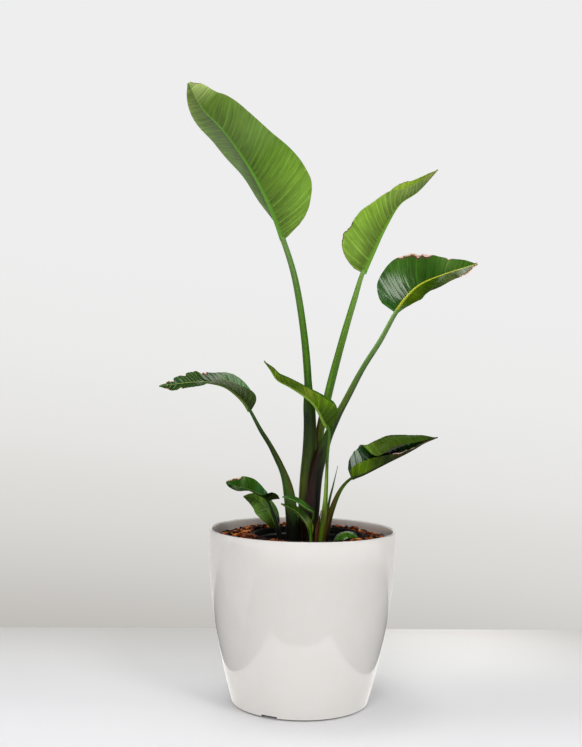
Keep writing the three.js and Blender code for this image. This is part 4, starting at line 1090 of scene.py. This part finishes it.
add_leaf(
    "leaf_front_shoot",
    seed=4,
    stalk=[(34, -32, 276), (36.5, -33, 315), (42, -35, 380), (44, -38, 454), (45.5, -42, 511)],
    rib=[
        (38, -43, 522), (29, -44, 539), (17, -46, 557), (0, -48, 571), (-28, -51, 588), (-51, -55, 600),
        (-63, -58, 617), (-76, -61, 634),
    ],
    girth=[(0, 6.5, 6.5), (0.3, 6.3, 6), (0.5, 4.2, 4.2), (0.7, 3.4, 3.4), (1, 3, 3)],
    facing=[(1, 0, 0), (0.9, -0.1, 0.4), (0.6, 0, 0.8), (0.9, 0, 0.4)],
    breadth=[
        (0, 6, 8), (0.03, 17, 14), (0.07, 29, 22), (0.14, 38, 34), (0.2, 36, 36), (0.3, 24, 26),
        (0.42, 18, 19), (0.6, 15, 16), (0.75, 13, 15), (0.88, 8, 9), (1, 1.5, 1.5),
    ],
    fold=[(0, 55, 60), (0.5, 60, 64), (1, 50, 50)],
    curl=[(0, 10, 10), (0.5, 10, 10), (1, 0, 0)],
    wave=(0.3, 1),
    upper=2 * ("3F7014 3F7014",),
    under=2 * ("406001 405E02 648A05 80981E 507305 5C7C04 769A0A 486C04",),
    rib_tints=("A8C050", "7FA03A"),
    margin="6A5A20",
    stalk_upper=[
        (0, "3A2410"), (0.14, "4A3C12"), (0.24, "57561A"), (0.34, "537106"), (0.6, "3A6408"), (1, "4E7420"),
    ],
    stalk_under=[
        (0, "4A6A10"), (0.2, "52790C"), (0.31, "46520A"), (0.42, "8AAC3C"), (0.6, "8EB03C"), (0.7, "3E540F"),
        (0.82, "4B750F"), (1, "3B6906"),
    ],
)
add_leaf(
    "leaf_low_left",
    seed=5,
    stalk=[
        (-17, -2, 270), (-20, -4, 347), (-31.5, -8, 413), (-59, -14, 472), (-81, -18, 507), (-100, -22, 541),
    ],
    rib=[
        (-111.5, -24, 558), (-126.5, -26, 572.5), (-148, -29, 586.5), (-174, -32, 592.5), (-198, -35, 593),
        (-235, -37, 589), (-270, -38, 584),
    ],
    girth=[(0, 9, 13), (0.35, 9, 12), (0.6, 7, 6.8), (0.75, 5.4, 5.2), (1, 3.8, 3.6)],
    facing=[(1, 0, 0), (0.8, 0.05, 0.6), (0.2, -0.165, 0.97), (-0.05, -0.165, 1)],
    breadth=[
        (0, 3, 4), (0.03, 16, 10), (0.07, 36, 23), (0.13, 51, 37), (0.25, 53, 43), (0.4, 46, 40),
        (0.5, 44, 34), (0.65, 36, 28), (0.78, 30, 25), (0.9, 18, 14), (1, 2, 2),
    ],
    fold=[(0, 34, 36), (0.2, 28, 32), (0.5, 14, 26), (0.75, -10, 34), (1, -20, 30)],
    torn=[(-1, 0.5, 0.03, 0.2), (-1, 0.68, 0.03, 0.25), (-1, 0.84, 0.035, 0.45), (1, 0.72, 0.03, 0.25)],
    wave=(2.5, 3),
    pleat=0.8,
    frayed=[
        (-1, 0.42, 0.49, 4, 9), (-1, 0.55, 0.6, 2, 3), (-1, 0.68, 0.74, 4, 10), (-1, 0.8, 0.97, 2, 3),
        (1, 0.84, 0.92, 2, 6),
    ],
    upper=("2B4B1B 2F5020 345224 365422", "3A6A2C 5A8A50 3A6828 325618 24440C 3E5E22 44683A 486E3E"),
    under=2 * ("2E480C 3E5615 5C7333 596F33 586C34 566A34",),
    rib_tints=("8AA04A", "6A7F3A"),
    margin="4A3A1C",
    stalk_upper=[
        (0, "0C0A08"), (0.2, "141810"), (0.3, "305A12"), (0.44, "485118"), (0.58, "3E4014"), (0.75, "2E3E12"),
        (1, "305018"),
    ],
    stalk_under=[
        (0, "0C0C08"), (0.2, "14170D"), (0.3, "334717"), (0.45, "3B5F17"), (0.56, "2E4E13"), (0.69, "1E3A0B"),
        (0.81, "1F3C0F"), (1, "2E5218"),
    ],
)
add_leaf(
    "leaf_low_right",
    seed=6,
    stalk=[(41, -18, 274), (44, -20, 313), (53, -24, 360), (70, -30, 401), (88, -36, 421)],
    rib=[
        (109, -38, 430), (137, -40, 444), (160, -43, 456), (184, -46, 468), (202, -48, 478), (220, -50, 489),
        (245, -52, 500),
    ],
    girth=[(0, 5, 6.5), (0.5, 5, 6), (1, 3, 3)],
    facing=[(-1, 0, 0), (-0.5, 0, 0.87), (-0.42, 0, 0.9), (-0.42, 0, 0.9)],
    breadth=[
        (0, 14, 10), (0.05, 34, 20), (0.115, 43, 24), (0.2, 47, 26), (0.25, 54, 26), (0.3, 71, 26),
        (0.36, 86, 25), (0.45, 98, 22), (0.6, 92, 16), (0.75, 66, 10), (0.88, 34, 6), (1, 2, 2),
    ],
    fold=[(0, 75, 62), (0.25, 75, 55), (0.45, 74, 35), (0.7, 62, 25), (1, 50, 20)],
    curl=[
        (0, 0, 0), (0.2, 0, 0), (0.3, 150, 0), (0.38, 200, 0), (0.55, 210, 0), (0.75, 240, 0), (0.9, 280, 0),
        (1, 280, 0),
    ],
    torn=[(-1, 0.5, 0.05, 0.2), (-1, 0.64, 0.04, 0.3)],
    wave=(1, 2),
    frayed=[(-1, 0.38, 0.57, 1.6, 4)],
    upper=("1C3A20 345C32 18390A 0C2604 0C2A03 225408 265608 285204", "1A3A1C 132A15 132015"),
    under=(
        "46620F 4E6B1F 54701F 34480A 2C4004 2C4403 304804 304804",
        "527206 6E960A 4A660A 2E420A 484A1A 303C0A 4A4A1C 5A5428",
    ),
    # The midrib's under face is almost black: painted shade along the underside of the keel
    rib_tints=("8AA04A", "2C2C10"),
    margin="5A3A20",
    stalk_upper=[
        (0, "2A140E"), (0.21, "582D15"), (0.31, "665410"), (0.5, "58430F"), (0.68, "603A0C"),
        (0.85, "4A5010"), (1, "2E4A0C"),
    ],
    stalk_under=[
        (0, "100E0A"), (0.21, "12160E"), (0.31, "282613"), (0.43, "2A2C10"), (0.56, "374504"),
        (0.68, "365802"), (0.81, "3C6B03"), (1, "2A3E06"),
    ],
)
add_leaf(
    "leaf_sprout_left",
    seed=7,
    stalk=[(-37, -14, 269), (-42, -16, 309), (-53, -20, 347), (-64, -24, 374)],
    rib=[(-71, -25, 382), (-85, -27, 389), (-102, -29, 396), (-121, -31, 400), (-143, -33, 409)],
    girth=[(0, 5.5, 6), (0.5, 4.5, 4.5), (1, 2.2, 2.2)],
    facing=[(1, 0, 0), (0.85, 0, 0.5), (0.1, 0, 1), (0.3, 0, 0.95)],
    breadth=[
        (0, 22, 2), (0.05, 23, 5), (0.12, 21, 10), (0.2, 19, 14), (0.3, 19, 19), (0.5, 19, 24), (0.7, 19, 23),
        (0.88, 15, 16), (0.96, 9, 9), (1, 3, 3),
    ],
    fold=[(0, 72, 60), (0.08, 60, 60), (0.2, 10, 62), (0.5, 2, 62), (0.75, -18, 58), (1, -20, 40)],
    lobe=(0.06, 0),
    wave=(0.8, 1.5),
    frayed=[(-1, 0.6, 1, 1.5, 6)],
    upper=("2A4420 304A20 304C18 346028", "306020 386A26 346C20 2F5B0A 315C08 366014 2E5D11 386818"),
    under=2 * ("1E2F0A 142C06",),
    rib_tints=("5A7A30", "3A5A1E"),
    margin="3A2A18",
    stalk_upper=[(0, "100E0A"), (0.5, "10140A"), (0.7, "0A0E06"), (0.8, "162609"), (1, "101A08")],
    stalk_under=[(0, "100E0A"), (0.45, "12140F"), (0.56, "30400F"), (0.7, "2A3A14"), (1, "1A2410")],
)
add_leaf(
    "leaf_sprout_behind",
    seed=8,
    stalk=[(-41, 4, 274), (-45, 3, 304), (-50, 2, 321)],
    rib=[(-57, 1, 338), (-67, 0, 355), (-82, -1, 371), (-97, -2, 378), (-112, -4, 380)],
    girth=[(0, 3.5, 3.5), (1, 2, 2)],
    facing=[(1, 0, 0), (0.3, -0.85, 0.3), (0.3, -0.85, 0.3), (0.3, -0.85, 0.3)],
    breadth=[
        (0, 7, 6), (0.1, 15, 11), (0.3, 24, 17), (0.5, 27, 18), (0.75, 18, 12), (0.92, 8, 5), (1, 1.5, 1.5),
    ],
    fold=[(0, 25, 25), (0.5, 20, 20), (1, 10, 10)],
    wave=(0.6, 1.5),
    upper=(
        "344012 3A4A14 5E8232 6A9040 6A9038 5E8430 567A2C 4A6E26",
        "1C2C0E 223412 4E7A1E 5E8A2C 6A9830 7AA83A 6A9830 5A8A28",
    ),
    under=2 * ("5E7F3C 5E7F3C",),
    rib_tints=("5E8430", "6A8F4A"),
    margin="4A5A20",
    stalk_upper=[(0, "1A1E10"), (1, "2E4A1A")],
    stalk_under=[(0, "1A1E10"), (1, "2E4A1A")],
)
add_leaf(
    "leaf_sprout_front",
    seed=9,
    stalk=[(18, -46, 278), (17, -48, 308), (16, -50, 335), (20, -54, 357)],
    rib=[(6, -58, 366), (-14, -62, 380), (-38, -66, 387)],
    girth=[(0, 2.5, 2.5), (1, 1.6, 1.6)],
    facing=[(1, 0, 0), (0.4, -0.4, 0.8), (0.4, -0.4, 0.8), (0.4, -0.4, 0.8)],
    breadth=[(0, 4, 4), (0.1, 7, 7), (0.35, 10, 10), (0.7, 8.5, 8.5), (0.9, 5, 5), (1, 1.5, 1.5)],
    fold=[(0, 30, 30), (0.5, 25, 25), (1, 20, 20)],
    wave=(0.4, 1.5),
    upper=(
        "24421A 2E5A1E 36681E 3A701E 36681C 30601A 2C5A18 2A5216",
        "24421A 345A20 3E6C22 447426 3E6C20 36641C 305C1A 2A5216",
    ),
    under=2 * ("4A7A2A 4A7A2A",),
    rib_tints=("7FA04A", "6A8F3A"),
    margin="3A4A1A",
    stalk_upper=[(0, "2A3010"), (0.5, "3E4A16"), (1, "2E3A10")],
    stalk_under=[(0, "4A6A14"), (0.45, "61A52C"), (1, "5A8A14")],
)
add_leaf(
    "leaf_sprout_front_low",
    seed=10,
    stalk=[(17, -40, 277), (15, -42, 297), (14, -44, 317)],
    rib=[(6, -48, 338), (-12, -52, 359), (-40, -58, 374)],
    girth=[(0, 2.5, 2.5), (1, 1.8, 1.8)],
    facing=[(1, 0, 0), (0.5, -0.6, 0.5), (0.5, -0.6, 0.5), (0.5, -0.6, 0.5)],
    breadth=[(0, 5, 5), (0.1, 9, 9), (0.3, 13, 12), (0.6, 10, 10), (0.85, 6, 6), (1, 1.5, 1.5)],
    fold=[(0, 40, 40), (0.5, 35, 35), (1, 20, 20)],
    wave=(0.4, 1.5),
    # The upper faces are pale near the blade's foot: a painted highlight on its rolled base
    upper=("7A9420 6A8A1E 4A6A18 385E10 344E04", "AAB83A 9AAA34 5A7A24 3E6418 446A1A 3E6416 3A5E12 345A10"),
    under=2 * ("4A6A20 4A6A20",),
    rib_tints=("8AA050", "6A8F3A"),
    margin="3A3A1A",
    stalk_upper=[(0, "2A4A14"), (1, "5A8A2A")],
    stalk_under=[(0, "2A4A14"), (1, "5A8A2A")],
)
add_leaf(
    "leaf_sprout_right",
    seed=11,
    stalk=[(50, -22, 275), (54, -24, 290), (60, -26, 303)],
    rib=[(70, -26, 315), (85, -26, 320), (97, -26, 315), (104, -26, 305)],
    girth=[(0, 2.8, 2.8), (1, 2, 2)],
    facing=[(-1, 0, 0), (-0.7, -0.3, 0.6), (0, -0.3, 1), (0.7, -0.3, 0.6)],
    breadth=[(0, 6, 6), (0.1, 10, 10), (0.35, 14, 14), (0.7, 12, 12), (0.9, 6, 6), (1, 1.5, 1.5)],
    fold=[(0, 0, -20), (0.5, -10, -20), (1, 0, -10)],
    curl=[(0, -20, -20), (0.5, -20, -30), (1, 0, 0)],
    wave=(0.4, 1.5),
    upper=("2A4812 34641A 30661A 286214", "56902F 548331 4E8024 508327 457A1E 386815 396718 386418"),
    under=2 * ("4A6A2A 4A6A2A",),
    rib_tints=("7FA04A", "6A8F3A"),
    margin="4A4A1A",
    stalk_upper=[(0, "2A3A14"), (1, "3A6A1A")],
    stalk_under=[(0, "2A3A14"), (1, "3A6A1A")],
)


# New leaf and bract. The newest leaf still stands rolled up as a green spike, and a dry purple-brown bract
# is left of an old leaf at the clump's foot.
SHOOTS = [
    dict(
        node="rolled_new_leaf",
        slot="leaf_tissue",
        stalk=[(38, -2, 276), (45, -4, 330), (49, -6, 374), (56, -7, 405), (64, -8, 441)],
        rib=[],
        girth=[(0, 3.5, 3.5), (0.6, 2.6, 2.6), (1, 0.6, 0.6)],
        facing=[(-1, 0, 0), (-1, 0, 0)],
        stalk_upper=[(0, "2E5A14"), (0.4, "5A4A18"), (0.6, "3A5A14"), (1, "24501A")],
        stalk_under=[(0, "2E5A14"), (0.5, "4A7A1E"), (1, "24501A")],
    ),
    dict(
        node="dry_bract",
        slot="dry_sheath",
        stalk=[(27, -24.5, 276), (27, -25, 310), (28, -26, 328), (34, -27, 360)],
        rib=[],
        girth=[(0, 2, 5), (0.5, 1.4, 4.6), (1, 0.5, 0.8)],
        facing=[(-1, 0, 0), (-1, 0, 0)],
        stalk_upper=[(0, "3A2010"), (0.33, "70401F"), (0.5, "7E4A26"), (0.7, "6A4828"), (1, "7A4A2A")],
        stalk_under=[(0, "2A1610"), (0.5, "5A3020"), (1, "6A3A24")],
    ),
]
for shoot in SHOOTS:
    points, faces, facts = stalk(shoot, centreline(shoot["stalk"], shoot["rib"]))
    name = shoot["node"] + "_grown"
    finishes = [stalk_finish(shoot)]
    piece = add_piece(name, shoot["node"], points, faces, finishes, LEAF_SHARP_DEG)
    add_facts(piece, **facts)


# Studio. The pot stands on a white board that meets a pale wall behind it, a little askew. Softboxes light it
# from above, from the right and from the front, and the white room fills the shadows.
BOARD_REACH = 6.0
BOARD_BACK = 0.571
BOARD_ASKEW = 0.0678
WALL_DISTANCE = 7.0
WALL_HEIGHT = 7.0
WALL_SIDES = 48
BRIGHT_SPOT = (0.31, 0.6, 0)
BRIGHT_SPOT_RADIUS = 0.58
BRIGHT_SPOT_LIGHT = 1.45


def add_sheet(name, corners, faces, finish):
    """A sheet of the studio, which isn't part of the plant."""
    mesh = bpy.data.meshes.new(name)
    mesh.from_pydata(corners, [], faces)
    mesh.materials.append(finish)
    sheet = bpy.data.objects.new(name, mesh)
    bpy.context.scene.collection.objects.link(sheet)
    return sheet


# Painted board: a smooth, matt white, with painted shade towards the wall
white_board, add = new_finish("white_painted_board")
place = add("TexCoord").outputs["Object"]
depth = add("SeparateXYZ", {"Vector": place}).outputs["Y"]
nearness = add("MapRange", [depth, 0.6, -0.6])
tint = add(
    "ValToRGB",
    {"Fac": nearness},
    stops=[
        (0.03, "DAD7D4"), (0.1, "E0DEDB"), (0.2, "E6E5E4"), (0.28, "EBEBEA"), (0.4, "EFEFF0"),
        (0.52, "F3F3F5"), (0.66, "FCFCFE"),
    ],
)
# Painted light: a pool of light on the board, brightest behind the pot at its right, where the glossy planter
# throws light back
away = add("VectorMath", [place, BRIGHT_SPOT], operation="DISTANCE").outputs["Value"]
fading = [away, 0, BRIGHT_SPOT_RADIUS, BRIGHT_SPOT_LIGHT, 1]
lit = add("MapRange", fading, interpolation_type="SMOOTHSTEP")
tint = add("VectorMath", {0: tint, "Scale": lit}, operation="SCALE")
shader = add("BsdfPrincipled", {"Base Color": tint, "Roughness": 0.8, "Specular IOR Level": 0.2})
add("OutputMaterial", {"Surface": shader})
board_corners = [
    (-BOARD_REACH, -BOARD_REACH, 0),
    (BOARD_REACH, -BOARD_REACH, 0),
    (BOARD_REACH, BOARD_BACK + BOARD_ASKEW * BOARD_REACH, 0),
    (-BOARD_REACH, BOARD_BACK - BOARD_ASKEW * BOARD_REACH, 0),
]
board = add_sheet("board", board_corners, [(0, 1, 2, 3)], white_board)
board.visible_glossy = False

# The wall goes all round, and only the camera sees it, so that it throws no light of its own. It glows with
# painted light and shade: darker lower down and a little darker to the left.
wall_ring = [2 * math.pi * i / WALL_SIDES for i in range(WALL_SIDES)]
wall_corners = [
    (WALL_DISTANCE * math.cos(a), WALL_DISTANCE * math.sin(a), z)
    for z in (-WALL_HEIGHT, WALL_HEIGHT)
    for a in wall_ring
]
wall_glow_finish, add = new_finish("pale_wall_painted_light")
place = add("TexCoord").outputs["Object"]
height = add("VectorMath", [place, (0.11, 0, 1)], operation="DOT_PRODUCT").outputs["Value"]
rise = add("MapRange", [height, -1.8, 1.8])
tint = add(
    "ValToRGB",
    {"Fac": rise},
    stops=[
        (0.02, "BFBCB6"), (0.08, "C6C3BF"), (0.18, "D1CFCB"), (0.28, "D9D8D4"), (0.37, "DEDDDA"),
        (0.47, "E5E4E2"), (0.66, "EBEBEA"), (0.9, "EEEEEE"),
    ],
)
glow = add("Emission", {"Color": tint, "Strength": 1.0})
add("OutputMaterial", {"Surface": glow})
pale_wall = add_sheet("pale_wall", wall_corners, tube_faces(2, WALL_SIDES), wall_glow_finish)
pale_wall.visible_diffuse = pale_wall.visible_glossy = False
pale_wall.visible_shadow = pale_wall.visible_transmission = False


def flat(x0, x1, y0, y1, z):
    return [(x0, y0, z), (x1, y0, z), (x1, y1, z), (x0, y1, z)]


def upright(x0, x1, y, z0, z1):
    return [(x0, y, z0), (x1, y, z0), (x1, y, z1), (x0, y, z1)]


# Glowing sheets that only gloss shows, which paint the set's reflections: the set as the planter's skin
# reflects it. The board under the pot ends against a darker studio floor, which is lit again farther off.
# Each has its brightness at one metre from the pot and at 2.4 metres.
SHEETS_IN_GLOSS = {
    "board_in_gloss": (flat(-0.24, 0.24, -0.36, 0.6, -0.0005), 1.25, 1.25),
    "white_card_in_gloss": (
        [(-0.453, -0.183, -0.001), (-1.562, -1.348, -0.001), (-3.0, -0.2, -0.001), (-1.754, 0.995, -0.001)],
        0.6,
        0.6,
    ),
    "studio_floor_in_gloss": (flat(-BOARD_REACH, BOARD_REACH, -BOARD_REACH, BOARD_REACH, -0.0015), 0.12, 1.6),
    "wall_in_gloss": (upright(-BOARD_REACH, BOARD_REACH, 0.6, 0, 0.45), 0.8, 0.8),
    "overhead_softbox_in_gloss": (flat(-0.5, 1.7, 0.3, 1.1, 2.7), 3, 3),
    "window_in_gloss": (upright(-1.1, 0.3, -3, 1.5, 3.7), 7, 7),
}
for name, (corners, near_light, far_light) in SHEETS_IN_GLOSS.items():
    finish, add = new_finish(name)
    place = add("TexCoord").outputs["Object"]
    distance = add("VectorMath", [place], operation="LENGTH").outputs["Value"]
    fading = [distance, 1, 2.4, near_light, far_light]
    light = add("MapRange", fading, interpolation_type="SMOOTHSTEP")
    glow = add("Emission", {"Color": srgb("FFFCF8"), "Strength": light})
    add("OutputMaterial", {"Surface": glow})
    sheet = add_sheet(name, corners, [(0, 1, 2, 3)], finish)
    sheet.visible_camera = sheet.visible_diffuse = sheet.visible_shadow = sheet.visible_transmission = False

# The room's light comes from all round, stronger from the wall behind than from the dark side in front
room = bpy.data.worlds.new("white_room")
room.use_nodes = True
room.node_tree.nodes.clear()
add = partial(add_node, room.node_tree)
direction = add("TexCoord").outputs["Generated"]
towards = add("SeparateXYZ", {"Vector": direction}).outputs["Y"]
light = add("MapRange", [towards, -1, 1, 0.4, 0.48])
background = add("Background", {"Color": srgb("FFFFFF"), "Strength": light})
add("OutputWorld", {"Surface": background})
room.cycles_visibility.glossy = False
bpy.context.scene.world = room

# Each softbox is turned to the middle of the clump: its place, its two sides and its power
SOFTBOX_AIM = (0, 0, 0.5)
SOFTBOXES = {
    "softbox_above": ((-0.3, 0.2, 2.7), (1.0, 1.0), 18),
    "softbox_right": ((1.5, -2.0, 2.2), (0.8, 1.0), 20),
    "softbox_front": ((-0.6, -2.7, 1.9), (1.2, 0.8), 22),
}
for name, (place, sides, power) in SOFTBOXES.items():
    lamp = bpy.data.lights.new(name, "AREA")
    lamp.shape = "RECTANGLE"
    lamp.size, lamp.size_y = sides
    lamp.energy = power
    box = bpy.data.objects.new(name, lamp)
    box.visible_glossy = False
    box.location = place
    box.rotation_euler = (Vector(SOFTBOX_AIM) - Vector(place)).to_track_quat("-Z", "Y").to_euler()
    bpy.context.scene.collection.objects.link(box)
bpy.context.scene.view_settings.view_transform = "Standard"
